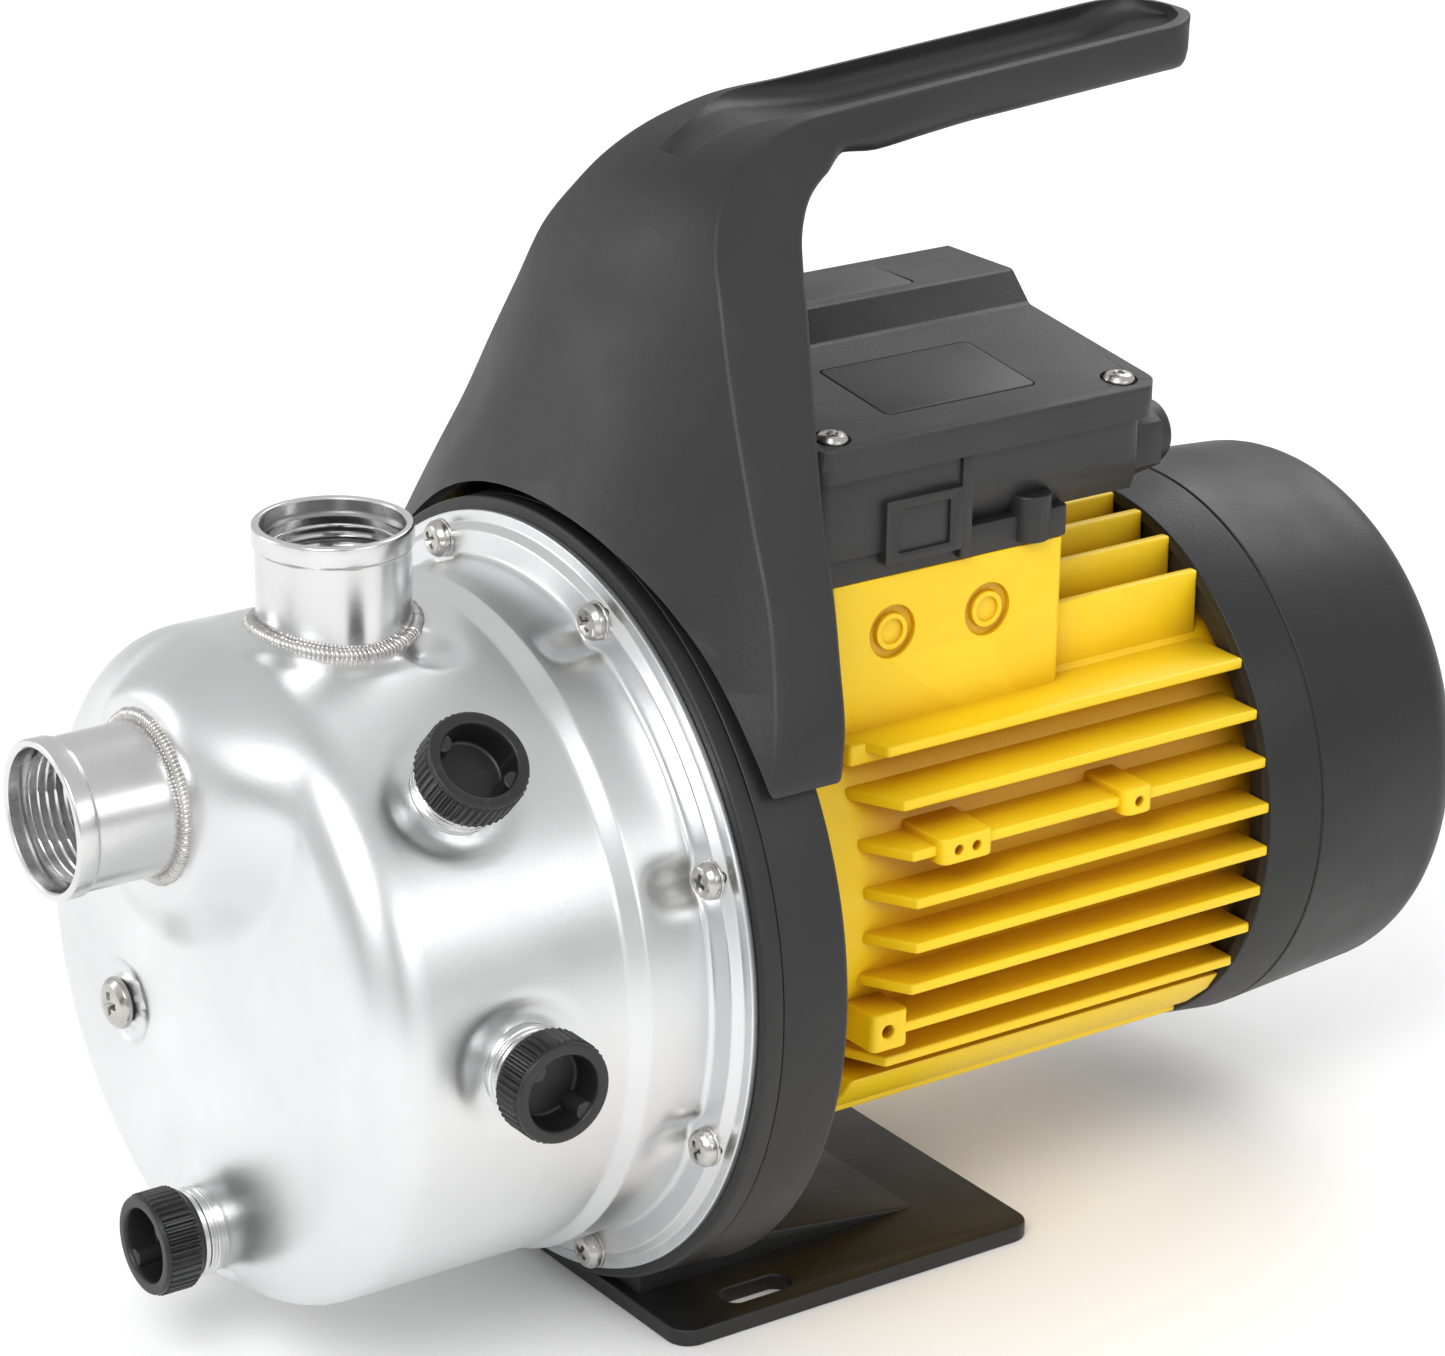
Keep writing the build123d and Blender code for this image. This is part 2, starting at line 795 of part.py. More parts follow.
def stator_core():
    core = tube(stator_radius, stator_bore, core_start, core_end)
    for n in range(24):
        x, z = polar(stator_bore + 9.5, n * 15)
        core -= disc(2.4, core_start - 1, core_end + 1, x, z)
    return core


def windings():
    """The wound ends of the stator's coils, one at each end of the core."""
    inner = stator_bore + 3
    outer = stator_radius - 8
    near = core_start - seat_gap
    far = core_end + seat_gap
    front = turned([(inner, near - 22), (outer, near - 22), (outer, near), (inner, near)],
                   [(0, 5.0), (1, 5.0), (2, 3.0), (3, 3.0)])
    rear = turned([(inner, far), (outer, far), (outer, far + 16), (inner, far + 16)],
                  [(0, 3.0), (1, 3.0), (2, 5.0), (3, 5.0)])
    return group([front, rear])


def rotor_core():
    core = tube(stator_bore - rotor_gap, shaft_core_radius + seat_gap, core_start, core_end)
    for y in (core_start - 6, core_end):
        core += tube(stator_bore - 2, shaft_core_radius + 8, y, y + 6)
    return core


def wave_washer():
    """A spring washer that presses on the rear bearing's outer ring."""
    face = rear_bearing_y + bearing_width
    return tube(bearing_outer_radius - 0.4, 13.0, face + 0.1, face + 0.8)


def rear_shield():
    """Cast end plate that carries the rear bearing."""
    bearing_end = rear_bearing_y + bearing_width
    plate_y = motor_end + 6 + seat_gap
    shield = turned(
        [
            (shaft_seat_radius + 2, bearing_end + 1),
            (bearing_outer_radius + fit_gap, bearing_end + 1),
            (bearing_outer_radius + fit_gap, rear_bearing_y),
            (bearing_outer_radius + 5, rear_bearing_y),
            (bearing_outer_radius + 7, motor_end),
            (stator_radius - slip_gap, motor_end),
            (stator_radius - slip_gap, plate_y),
            (motor_wall_radius + 4, plate_y),
            (motor_wall_radius + 4, plate_y + 5),
            (shaft_seat_radius + 2, plate_y + 5),
        ]
    )
    for x, z in shield_screw_points():
        shield -= disc(2.3, motor_end - 6, motor_end + 40, x, z)
    return shield


def shield_screws():
    seat = motor_end + 6 + seat_gap + 5 + seat_gap
    screw = pan_screw(3.9, 2.8, 2.0 - fit_gap, 14.0)
    return group([facing_rear(x, seat, z) * screw for x, z in shield_screw_points()])


def fan():
    """Plastic cooling fan: hub, back disc and straight blades."""
    hub = tube(12, shaft_end_radius + fit_gap, fan_y - 2, fan_y + 16)
    body = hub + tube(fan_radius - 6, 11, fan_y, fan_y + 2.5)
    for n in range(fan_blades):
        blade = block(10.5, fan_radius, fan_y + 1, fan_y + 15, -1.1, 1.1)
        body += Rot(0, n * 360 / fan_blades, 0) * blade
    return body


def fan_clip():
    return tube(9.0, shaft_end_radius + seat_gap, fan_y + 16.1, fan_y + 17.3)


def cover_section(inset):
    """The cover's turned form; the inset gives its inside."""
    end = cover_end - inset
    rounding = cover_round - inset
    start = motor_end - (1 if inset else 0)
    return turned(
        [
            (0, start),
            (cover_front_radius - inset, start),
            (cover_step_radius - inset, cover_step_y),
            (cover_rear_radius - inset, end),
            (0, end),
        ],
        [(3, rounding)],
    )


def fan_cover():
    """Plastic cowl with a slotted air inlet and three fixing feet inside."""
    cover = cover_section(0) - cover_section(cover_wall)
    step = tube(cover_step_radius + 2, cover_step_radius - 0.5, cover_step_y - 0.6, cover_step_y + 0.4)
    cover -= step
    slots = []
    for n in range(-6, 7):
        level = n * 7.5
        half = math.sqrt(48.0**2 - level**2)
        slots.append(block(-half, half, cover_end - 10, cover_end + 5, level - 1.9, level + 1.9))
    for slot in slots:
        cover -= slot
    cover += tube(cover_front_radius - 1, motor_wall_radius + 4.5, motor_end + 0.5, motor_end + 3)
    cover += block(-2, 2, cover_end - cover_wall, cover_end, -50, 50)
    for x, z in cover_screw_points():
        cover -= facing_away(x, z) * Cylinder(2.3, 30)
    return cover


def cover_screw_points():
    """Unit directions of the screws that hold the cover to the shield."""
    return [polar(1.0, angle) for angle in cover_screw_angles]


def facing_away(x, z):
    """The place of a radial screw on the cover."""
    angle = math.degrees(math.atan2(z, x))
    radius = cover_front_radius + 0.9
    return facing_out(radius, angle, motor_end + 8.5)


def cover_screws():
    screw = pan_screw(3.6, 2.4, 1.9, 8.0)
    return group([facing_away(x, z) * Pos(0, 0, 0.4) * screw for x, z in cover_screw_points()])


# ---- terminal box ----
def box_base():
    """Box base with its frame boss, pillars and open top."""
    base = block(-box_half_width, box_half_width, box_front, box_rear, pad_top + 7, box_top)
    base = fillet(base.edges().filter_by(Axis.Z), 5.0)
    foot = block(-pad_half_width, pad_half_width, pad_start - 3, pad_end + 1, pad_top + seat_gap, pad_top + 8)
    base += foot
    cavity = box_frame(box_wall, box_floor, box_top + 5)
    base -= fillet(cavity.edges().filter_by(Axis.Z), 3.0)
    for side in (-1, 1):
        reach = side * (box_half_width + 1.6)
        near = side * (box_half_width - 6)
        x0, x1 = sorted((near, reach))
        base += block(x0, x1, 68.0, 91.0, pad_top + 4, pad_top + 20)
        base += Pos(side * (box_half_width - 2), 115, pad_top + 7) * Cylinder(5.5, 12)
        for y in lid_screw_levels():
            height = box_top - pad_top - 8
            base += Pos(side * (lid_screw_x - 1.5), y, box_top - height / 2) * Cylinder(4.2, height)
    base -= block(-wire_opening_half - 10, wire_opening_half - 10, 74, 104, pad_top - 5, box_floor + 5)
    for side in (-1, 1):
        for y in lid_screw_levels():
            base -= Pos(side * lid_screw_x, y, box_top) * Cylinder(lid_screw_radius + fit_gap, 26)
    for x, y in box_screw_points():
        base -= Pos(x, y, pad_top) * Cylinder(2.3, 40)
        base -= Pos(x, y, box_floor + 10) * Cylinder(4.4, 20)
    gland_x, gland_z = gland_at
    base -= disc(gland_radius - gland_wall, box_rear - 10, box_rear + 10, gland_x, gland_z)
    return base


def lid_screw_levels():
    return [lid_front + lid_screw_inset, lid_rear - lid_screw_inset]


def box_frame(inset, z0, z1):
    """A block that fills the box's outline, drawn in by the inset."""
    half = box_half_width - inset
    return block(-half, half, box_front + inset, box_rear - inset, z0, z1)


def box_gasket():
    """A flat seal under the lid's edge, with a hole for each lid screw."""
    seal = box_frame(0.4, box_top + seat_gap, box_top + box_gasket_thickness - seat_gap)
    seal -= box_frame(2.2, box_top - 1, box_top + 3)
    for side in (-1, 1):
        for y in lid_screw_levels():
            seal -= Pos(side * lid_screw_x, y, box_top) * Cylinder(lid_screw_radius + slip_gap, 20)
    return seal


def lid_profile(drop):
    """The lid's end view; drop lowers the roof to give its inside."""
    half = lid_half_width - drop
    return [
        (-half, box_top + box_gasket_thickness),
        (half, box_top + box_gasket_thickness),
        (half, lid_edge_top - drop),
        (-3.0, lid_ridge_top - drop),
        (plateau_near - drop, plateau_top - drop),
        (plateau_far + drop, plateau_top - 0.6 - drop),
        (plateau_far - 7.0 + drop, lid_ridge_top - drop),
        (-half, lid_edge_top - drop),
    ]


def box_lid():
    """Sloping lid with a raised plateau, label seats and four screw holes."""
    length = lid_rear - lid_front
    outer = extrude(Plane.XZ * outline(lid_profile(0), [(2, 2.0), (7, 2.0)]), -length)
    plan = block(-lid_half_width, lid_half_width, lid_front, lid_rear, 0, 2 * plateau_top)
    outer = Pos(0, lid_front, 0) * outer & fillet(plan.edges().filter_by(Axis.Z), 6.0)
    inner = extrude(Plane.XZ * outline(lid_profile(box_wall)), -(length - 2 * box_wall))
    inner = Pos(0, lid_front + box_wall, -0.01) * inner
    lid = outer - (inner & block(-38, 38, 0, 300, 0, 300))
    for label in label_cutters(0.0):
        lid -= label
    for side in (-1, 1):
        for y in lid_screw_levels():
            lid -= Pos(side * lid_screw_x, y, lid_edge_top) * Cylinder(2.3, 40)
            lid -= Pos(side * lid_screw_x, y, lid_edge_top + 9.6) * Cylinder(4.6, 20)
    return lid


def label_cutters(shrink):
    """Thin plates let into the lid's slope and plateau."""
    slope = math.degrees(math.atan2(lid_ridge_top - lid_edge_top, lid_half_width + 3))
    middle_z = (lid_edge_top + lid_ridge_top) / 2
    plate = Box(29 - shrink, 46 - shrink, 1.2)
    near = Pos(lid_half_width / 2 - 1, 98, middle_z + 0.3) * Rot(0, slope, 0) * plate
    far = Pos((plateau_near + plateau_far) / 2, 98, plateau_top - 0.2) * Box(20 - shrink, 50 - shrink, 1.2)
    return [near, far]


def label_plates():
    return group(label_cutters(0.4))


def lid_screws():
    screw = pan_screw(4.0, 2.8, lid_screw_radius, 18.0)
    seat = lid_edge_top - 0.4 + seat_gap
    places = [Pos(side * lid_screw_x, y, seat) for side in (-1, 1) for y in lid_screw_levels()]
    return group([place * screw for place in places])


def box_screws():
    screws = []
    for x, y in box_screw_points():
        screws.append(Pos(x, y, box_floor + seat_gap) * pan_screw(3.8, 2.6, 1.95, 16.0))
    return group(screws)


def terminal_block():
    middle = (terminal_near + terminal_far) / 2
    body = block(terminal_far, terminal_near, 62, 102, box_floor + 2, pad_top + 24)
    for n in range(4):
        body -= Pos(middle, 67 + n * 10, pad_top + 22) * Box(24, 6, 8)
    return body + block(middle - 5, middle + 5, 68, 96, box_floor + seat_gap, box_floor + 3)


def capacitor():
    return disc(capacitor_radius, 66, 138, capacitor_x, box_floor + capacitor_radius + seat_gap)


def cable_gland():
    x, z = gland_at
    inside = tube(gland_radius - gland_wall - fit_gap, gland_bore, box_rear - 8, box_rear + 10, x, z)
    flange = extrude(RegularPolygon(gland_radius, 6, major_radius=False), 4.5)
    flange = facing_rear(x, box_rear + seat_gap, z) * flange - disc(gland_bore, 0, 300, x, z)
    return inside + flange


def gland_nut():
    x, z = gland_at
    start = box_rear + 4.7
    nut = extrude(RegularPolygon(gland_radius, 6, major_radius=False), 9.0)
    nut = facing_rear(x, start, z) * nut
    dome = disc(gland_radius - 1.2, start + 9, start + 14, x, z)
    dome = fillet(dome.edges().sort_by(Axis.Y)[-1], 3.0)
    nut = nut + dome
    nut -= disc(gland_radius - gland_wall, start - 1, start + 8, x, z)
    return nut - disc(gland_bore, start - 1, start + 30, x, z)


# ---- handle ----
def handle_side(inset=0.0):
    """The handle seen from the side, (y, z): leaning leg, grip and the bend between them."""
    front = Spline(
        (8.0 + inset, handle_bottom),
        (17.5 + inset, 92.0),
        (21.5 + inset, 125.0),
        (26.0 + inset, 156.0),
        (36.0 + inset, 176.0 - inset),
        (62.0, grip_top - inset),
        tangents=[(0.25, 1.0), (1.0, grip_slope)],
    )
    tip_top = Vector(grip_end - 4, grip_top + (grip_end - 66) * grip_slope - inset)
    tip_low = Vector(grip_end - 8, 186.3 + inset)
    under_start = Vector(74.0, 178.8 + inset)
    top = Line(front @ 1, tip_top)
    end = ThreePointArc(tip_top, Vector(grip_end, 191.2), tip_low)
    under = Line(tip_low, under_start)
    rear = Spline(
        under_start,
        (54.5 - inset, 166.0 + inset),
        (49.0 - inset, 146.0),
        (41.5 - inset, 118.0),
        (33.5 - inset, 78.0),
        (29.0 - inset, handle_bottom),
        tangents=[(-1.0, -grip_slope), (-0.1, -1.0)],
    )
    return make_face([front, top, end, under, rear, Line(rear @ 1, front @ 0)])


def handle_front(inset=0.0):
    """The handle seen from the front, (x, z)."""
    flank = Spline(
        (87.0 - inset, handle_bottom),
        (84.5 - inset, 66.0),
        (73.5 - inset, 90.0),
        (57.5 - inset, 118.0),
        (41.0 - inset, 150.0),
        (31.0 - inset, 166.0),
        (21.0 - inset, 178.0),
        (grip_half_width - inset, 190.0),
        tangents=[(0.0, 1.0), (0.0, 1.0)],
    )
    top = 215.0
    edges = [
        Line((0, handle_bottom), flank @ 0),
        flank,
        Line(flank @ 1, (grip_half_width - inset, top)),
        Line((grip_half_width - inset, top), (0, top)),
        Line((0, top), (0, handle_bottom)),
    ]
    half = make_face(edges)
    return half + mirror(half, Plane.YZ)


def handle_blank(inset=0.0):
    """The solid common to the side and front views, drawn in by the inset."""
    side_solid = extrude(Plane.YZ * handle_side(inset), 120, both=True)
    front_solid = extrude(Plane.XZ * handle_front(inset), 260, both=True)
    return side_solid & front_solid


def crown_section(blank, level):
    """The crown of the leg's front at one height: an arc that bulges over the blank's flat front."""
    box = (blank & Pos(0, 0, level + 0.2) * Box(400, 400, 0.1)).bounding_box()
    half = box.max.X
    front = box.min.Y - handle_crown_lead
    wide = half + 6.0
    edge = front + (wide**2 - half**2) / (2 * handle_front_radius)
    back = front + 2 * handle_crown_lead
    arc = ThreePointArc((wide, edge), (0, front - half**2 / (2 * handle_front_radius)), (-wide, edge))
    sides = Polyline((-wide, edge), (-wide, edge + back - front), (wide, edge + back - front), (wide, edge))
    return Pos(0, 0, level) * make_face([arc, *sides.edges()])


def handle_body(inset=0.0):
    """The blank with the crowned front of its leg."""
    blank = handle_blank(inset)
    step = (handle_hollow_top + 2.0 - handle_bottom) / handle_crown_spans
    levels = [handle_bottom + n * step for n in range(handle_crown_spans + 1)]
    crown = loft([crown_section(blank, level) for level in levels])
    crown &= extrude(Plane.XZ * handle_front(inset), 260, both=True)
    return blank + crown


def handle():
    """Hollow saddle over the bracket ring, leaning leg and a grip with an open channel."""
    whole = handle_body()
    body = whole - (handle_body(handle_wall) & block(-200, 200, -50, 60, 0, handle_hollow_top))
    arch = disc(ring_rear_radius + arch_gap, -60, 80)
    body -= arch
    channel_length = grip_end - channel_end_wall - channel_front
    channel = Box(2 * (grip_half_width - channel_wall), channel_length, channel_height)
    channel = fillet(channel.edges().filter_by(Axis.Y).group_by(Axis.Z)[0], 4.0)
    channel = fillet(channel.edges().filter_by(Axis.Z), 8.0)
    channel_middle = Pos(0, channel_front + channel_length / 2, channel_floor + channel_height / 2)
    body -= channel_middle * Rot(math.degrees(math.atan(grip_slope)), 0, 0) * channel
    tab_start = bracket_depth + 0.2
    for x, z in handle_screw_points():
        arm_angle = math.degrees(math.atan2(z, x))
        tab = block(ring_bore + 2, 2 * ring_bore, tab_start, bracket_depth + 4, -8, 8)
        body += Rot(0, -arm_angle, 0) * tab & (whole + arch)
        body -= disc(m5_radius + slip_gap, 0, 60, x, z)
    return body


def handle_screws():
    screw = pan_screw(4.4, 3.2, m5_radius - fit_gap, 12.0)
    seat = bracket_depth + 4 + seat_gap
    return group([facing_rear(x, seat, z) * screw for x, z in handle_screw_points()])


def build():
    for piece in (
        pump_housing, suction_port, discharge_port, port_welds, front_screw, front_screw_seal, front_ring,
        seal_plate, housing_oring, adapter_bracket, shaft, impeller, impeller_nut, diffuser, ejector_body,
        jet_nozzle, ejector_oring, slinger, motor_housing, motor_screws, stator_core, windings, rotor_core,
        wave_washer, rear_shield, shield_screws, fan, fan_clip, fan_cover, cover_screws, box_base, box_gasket,
        box_lid, label_plates, lid_screws, box_screws, terminal_block, capacitor, cable_gland, gland_nut,
        handle, handle_screws,
    ):
        save(piece.__name__, piece())
    plugs()
    flange_fasteners()
    mechanical_seal()
    bearing("front", front_bearing_y)
    bearing("rear", rear_bearing_y)


build()
print(len(written), "nodes")
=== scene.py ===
import json
import math
import random

import bmesh
import bpy
from bpy.props import FloatProperty, FloatVectorProperty, IntProperty, PointerProperty
from bpy.types import Operator, Panel, PropertyGroup
from mathutils import Matrix, Vector


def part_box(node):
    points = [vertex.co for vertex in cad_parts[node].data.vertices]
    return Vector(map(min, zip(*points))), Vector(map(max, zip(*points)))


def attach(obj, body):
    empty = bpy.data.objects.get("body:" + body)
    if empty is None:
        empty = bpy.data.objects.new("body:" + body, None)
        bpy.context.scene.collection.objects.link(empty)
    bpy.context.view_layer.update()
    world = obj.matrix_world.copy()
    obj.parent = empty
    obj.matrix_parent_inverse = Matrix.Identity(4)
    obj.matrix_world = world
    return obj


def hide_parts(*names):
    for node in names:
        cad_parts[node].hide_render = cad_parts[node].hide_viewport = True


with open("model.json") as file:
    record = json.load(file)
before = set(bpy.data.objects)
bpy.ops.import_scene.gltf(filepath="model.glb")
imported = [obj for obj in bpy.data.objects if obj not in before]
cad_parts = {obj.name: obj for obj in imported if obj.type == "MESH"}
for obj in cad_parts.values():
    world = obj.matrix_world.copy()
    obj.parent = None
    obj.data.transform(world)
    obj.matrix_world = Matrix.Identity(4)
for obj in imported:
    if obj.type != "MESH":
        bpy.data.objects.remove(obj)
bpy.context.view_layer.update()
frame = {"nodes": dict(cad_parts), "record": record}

bl_info = {
    "name": "Shallow well jet pump",
    "version": (1, 0, 0),
    "blender": (4, 5, 0),
    "location": "3D View > Sidebar > Jet Pump",
    "description": "Builds the visible pieces of a shallow well jet pump around its packed CAD frame",
    "category": "Add Mesh",
}

MM = 0.001
LOW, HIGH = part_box("pump_housing")
ORIGIN = Vector((0.0, HIGH.y, (LOW.z + HIGH.z) / 2))
TO_FRAME = Matrix.Translation(ORIGIN) @ Matrix.Scale(MM, 4)
MADE = {}


# ---- drawing in the pump's own millimetres ----
def polar(radius, angle):
    """A point in the XZ plane, at an angle in degrees above +X."""
    return radius * math.cos(math.radians(angle)), radius * math.sin(math.radians(angle))


def ease(value, low, high):
    """A smooth step from 0 at low to 1 at high."""
    share = min(max((value - low) / (high - low), 0.0), 1.0)
    return share * share * (3 - 2 * share)


def rounded(corners, steps=5):
    """Points of a closed outline of (u, v) or (u, v, rounding) corners."""
    points = []
    for n, corner in enumerate(corners):
        here = Vector(corner[:2])
        if len(corner) < 3 or corner[2] <= 0:
            points.append(here)
            continue
        before = Vector(corners[n - 1][:2]) - here
        after = Vector(corners[(n + 1) % len(corners)][:2]) - here
        half = before.angle(after) / 2
        reach = min(corner[2] / math.tan(half), 0.48 * before.length, 0.48 * after.length)
        rounding = reach * math.tan(half)
        middle = here + (before.normalized() + after.normalized()).normalized() * rounding / math.sin(half)
        start = here + before.normalized() * reach - middle
        end = here + after.normalized() * reach - middle
        for step in range(steps + 1):
            share = step / steps
            turn = math.pi - 2 * half
            weight = math.sin((1 - share) * turn), math.sin(share * turn)
            points.append(middle + (start * weight[0] + end * weight[1]) / math.sin(turn))
    return points


def spaced(points, gap):
    """The same closed outline with no stretch longer than the gap."""
    result = []
    for here, after in zip(points, points[1:] + points[:1]):
        count = max(1, math.ceil((after - here).length / gap))
        result += [here.lerp(after, n / count) for n in range(count)]
    return result


def bridge(mesh, rings, closed=True):
    """Faces between following rings of vertices; a ring of one vertex is a pole."""
    pairs = list(zip(rings, rings[1:]))
    if closed:
        pairs.append((rings[-1], rings[0]))
    for ring, after in pairs:
        count = max(len(ring), len(after))
        if count == 1:
            continue
        for n in range(count):
            corners = []
            for vert in (ring[n % len(ring)], ring[(n + 1) % len(ring)],
                         after[(n + 1) % len(after)], after[n % len(after)]):
                if vert not in corners:
                    corners.append(vert)
            mesh.faces.new(corners)


def turned(outline, segments=96):
    """A closed outline of (radius, place) turned about Z; the outline may be a function of the angle."""
    mesh = bmesh.new()
    outlines = [outline(2 * math.pi * n / segments) if callable(outline) else outline for n in range(segments)]
    rings = []
    for number, point in enumerate(outlines[0]):
        if point[0] < 1e-6:
            rings.append([mesh.verts.new((0, 0, point[1]))])
            continue
        ring = []
        for n, points in enumerate(outlines):
            radius, place = points[number][:2]
            angle = 2 * math.pi * n / segments
            ring.append(mesh.verts.new((radius * math.cos(angle), radius * math.sin(angle), place)))
        rings.append(ring)
    bridge(mesh, rings)
    return mesh


def prism(points, low, high):
    """An outline in the XY plane raised from low to high."""
    mesh = bmesh.new()
    rings = [[mesh.verts.new((p[0], p[1], z)) for p in points] for z in (low, high)]
    bridge(mesh, rings, closed=False)
    mesh.faces.new(rings[0])
    mesh.faces.new(rings[1])
    return mesh


def slab(x0, x1, y0, y1, z0, z1, corner=0.0, steps=5):
    """A block by its limits, with rounded upright edges."""
    corners = [(x0, y0, corner), (x1, y0, corner), (x1, y1, corner), (x0, y1, corner)]
    return prism(rounded(corners, steps), z0, z1)


def rod(radius, low, high, segments=32):
    """A plain cutter along Z."""
    return turned([(0, low), (radius, low), (radius, high), (0, high)], segments)


ALONG_FRONT = Matrix.Rotation(math.radians(90), 4, "X")
ALONG_REAR = Matrix.Rotation(math.radians(-90), 4, "X")


def facing_front(x, y, z):
    return Matrix.Translation((x, y, z)) @ ALONG_FRONT


def facing_rear(x, y, z):
    return Matrix.Translation((x, y, z)) @ ALONG_REAR


def facing_out(radius, angle, y):
    x, z = polar(radius, angle)
    return Matrix.Translation((x, y, z)) @ Matrix.Rotation(math.radians(90 - angle), 4, "Y")


def moved(mesh, matrix):
    mesh.transform(matrix)
    return mesh


def joined(meshes):
    """Several drawn meshes in one."""
    whole = bmesh.new()
    for mesh in meshes:
        bmesh.ops.recalc_face_normals(mesh, faces=mesh.faces)
        data = bpy.data.meshes.new("part")
        mesh.to_mesh(data)
        mesh.free()
        whole.from_mesh(data)
        bpy.data.meshes.remove(data)
    return whole


def solid(mesh, name="work"):
    """An object from a drawn mesh."""
    bmesh.ops.remove_doubles(mesh, verts=mesh.verts, dist=0.002)
    bmesh.ops.recalc_face_normals(mesh, faces=mesh.faces)
    data = bpy.data.meshes.new(name)
    mesh.to_mesh(data)
    mesh.free()
    thing = bpy.data.objects.new(name, data)
    bpy.context.scene.collection.objects.link(thing)
    return thing


def settle(thing):
    """Turn an object's modifiers into its own mesh."""
    bpy.context.view_layer.update()
    graph = bpy.context.evaluated_depsgraph_get()
    data = bpy.data.meshes.new_from_object(thing.evaluated_get(graph), depsgraph=graph)
    thing.modifiers.clear()
    old = thing.data
    thing.data = data
    bpy.data.meshes.remove(old)
    return thing


def combine(thing, mesh, how="DIFFERENCE"):
    """Cut a drawn mesh out of an object, or join or keep their common part."""
    tool = solid(mesh, "tool")
    modifier = thing.modifiers.new("Combine", "BOOLEAN")
    modifier.operation = how
    modifier.solver = "EXACT"
    modifier.use_self = how != "INTERSECT"
    modifier.object = tool
    settle(thing)
    data = tool.data
    bpy.data.objects.remove(tool)
    bpy.data.meshes.remove(data)
    return thing


def soften(thing, width, steps=2, angle=35.0):
    """Round the edges sharper than an angle."""
    modifier = thing.modifiers.new("Edges", "BEVEL")
    modifier.width = width
    modifier.segments = steps
    modifier.limit_method = "ANGLE"
    modifier.angle_limit = math.radians(angle)
    modifier.use_clamp_overlap = True
    modifier.miter_outer = "MITER_ARC"
    return settle(thing)


def piece(thing, name, slot, body="pump", replaces=(), sharp=35.0):
    """Finish an object drawn in millimetres: its name, finish, body and the CAD nodes it stands for."""
    data = thing.data
    data.transform(TO_FRAME)
    for polygon in data.polygons:
        polygon.use_smooth = True
    data.set_sharp_from_angle(angle=math.radians(sharp))
    data.materials.clear()
    data.materials.append(finishes()[slot])
    for polygon in data.polygons:
        polygon.material_index = 0
    thing.name = name
    data.name = name
    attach(thing, body)
    if replaces:
        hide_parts(*replaces)
    return thing


# ---- copies by geometry nodes ----
def socket(group, name, kind, default=None):
    item = group.interface.new_socket(name, in_out="INPUT", socket_type=kind)
    if default is not None:
        item.default_value = default
    return item.identifier


def copier():
    """A node group that sets one item on every point, aimed, sized and rolled, as real faces of one material."""
    if "Copies of one item" in bpy.data.node_groups:
        return bpy.data.node_groups["Copies of one item"]
    group = bpy.data.node_groups.new("Copies of one item", "GeometryNodeTree")
    socket(group, "Geometry", "NodeSocketGeometry")
    socket(group, "Item", "NodeSocketObject")
    socket(group, "Roll", "NodeSocketFloat", 0.0)
    socket(group, "Seed", "NodeSocketInt", 3)
    socket(group, "Finish", "NodeSocketMaterial")
    group.interface.new_socket("Geometry", in_out="OUTPUT", socket_type="NodeSocketGeometry")
    nodes, links = group.nodes, group.links
    inputs = nodes.new("NodeGroupInput")
    result = nodes.new("NodeGroupOutput")
    item = nodes.new("GeometryNodeObjectInfo")
    item.transform_space = "ORIGINAL"
    aim = nodes.new("GeometryNodeInputNamedAttribute")
    aim.data_type = "FLOAT_VECTOR"
    aim.inputs["Name"].default_value = "aim"
    size = nodes.new("GeometryNodeInputNamedAttribute")
    size.data_type = "FLOAT_VECTOR"
    size.inputs["Name"].default_value = "size"
    align = nodes.new("FunctionNodeAlignRotationToVector")
    align.axis = "Z"
    chance = nodes.new("FunctionNodeRandomValue")
    chance.data_type = "FLOAT"
    spin = nodes.new("FunctionNodeAxisAngleToRotation")
    turn = nodes.new("FunctionNodeRotateRotation")
    turn.rotation_space = "LOCAL"
    copies = nodes.new("GeometryNodeInstanceOnPoints")
    real = nodes.new("GeometryNodeRealizeInstances")
    paint = nodes.new("GeometryNodeSetMaterial")
    links.new(inputs.outputs["Item"], item.inputs["Object"])
    links.new(aim.outputs["Attribute"], align.inputs["Vector"])
    links.new(inputs.outputs["Roll"], chance.inputs["Max"])
    links.new(inputs.outputs["Seed"], chance.inputs["Seed"])
    links.new(chance.outputs["Value"], spin.inputs["Angle"])
    links.new(align.outputs["Rotation"], turn.inputs["Rotation"])
    links.new(spin.outputs["Rotation"], turn.inputs["Rotate By"])
    links.new(inputs.outputs["Geometry"], copies.inputs["Points"])
    links.new(item.outputs["Geometry"], copies.inputs["Instance"])
    links.new(turn.outputs["Rotation"], copies.inputs["Rotation"])
    links.new(size.outputs["Attribute"], copies.inputs["Scale"])
    links.new(copies.outputs["Instances"], real.inputs["Geometry"])
    links.new(inputs.outputs["Finish"], paint.inputs["Material"])
    links.new(real.outputs["Geometry"], paint.inputs["Geometry"])
    links.new(paint.outputs["Geometry"], result.inputs["Geometry"])
    return group


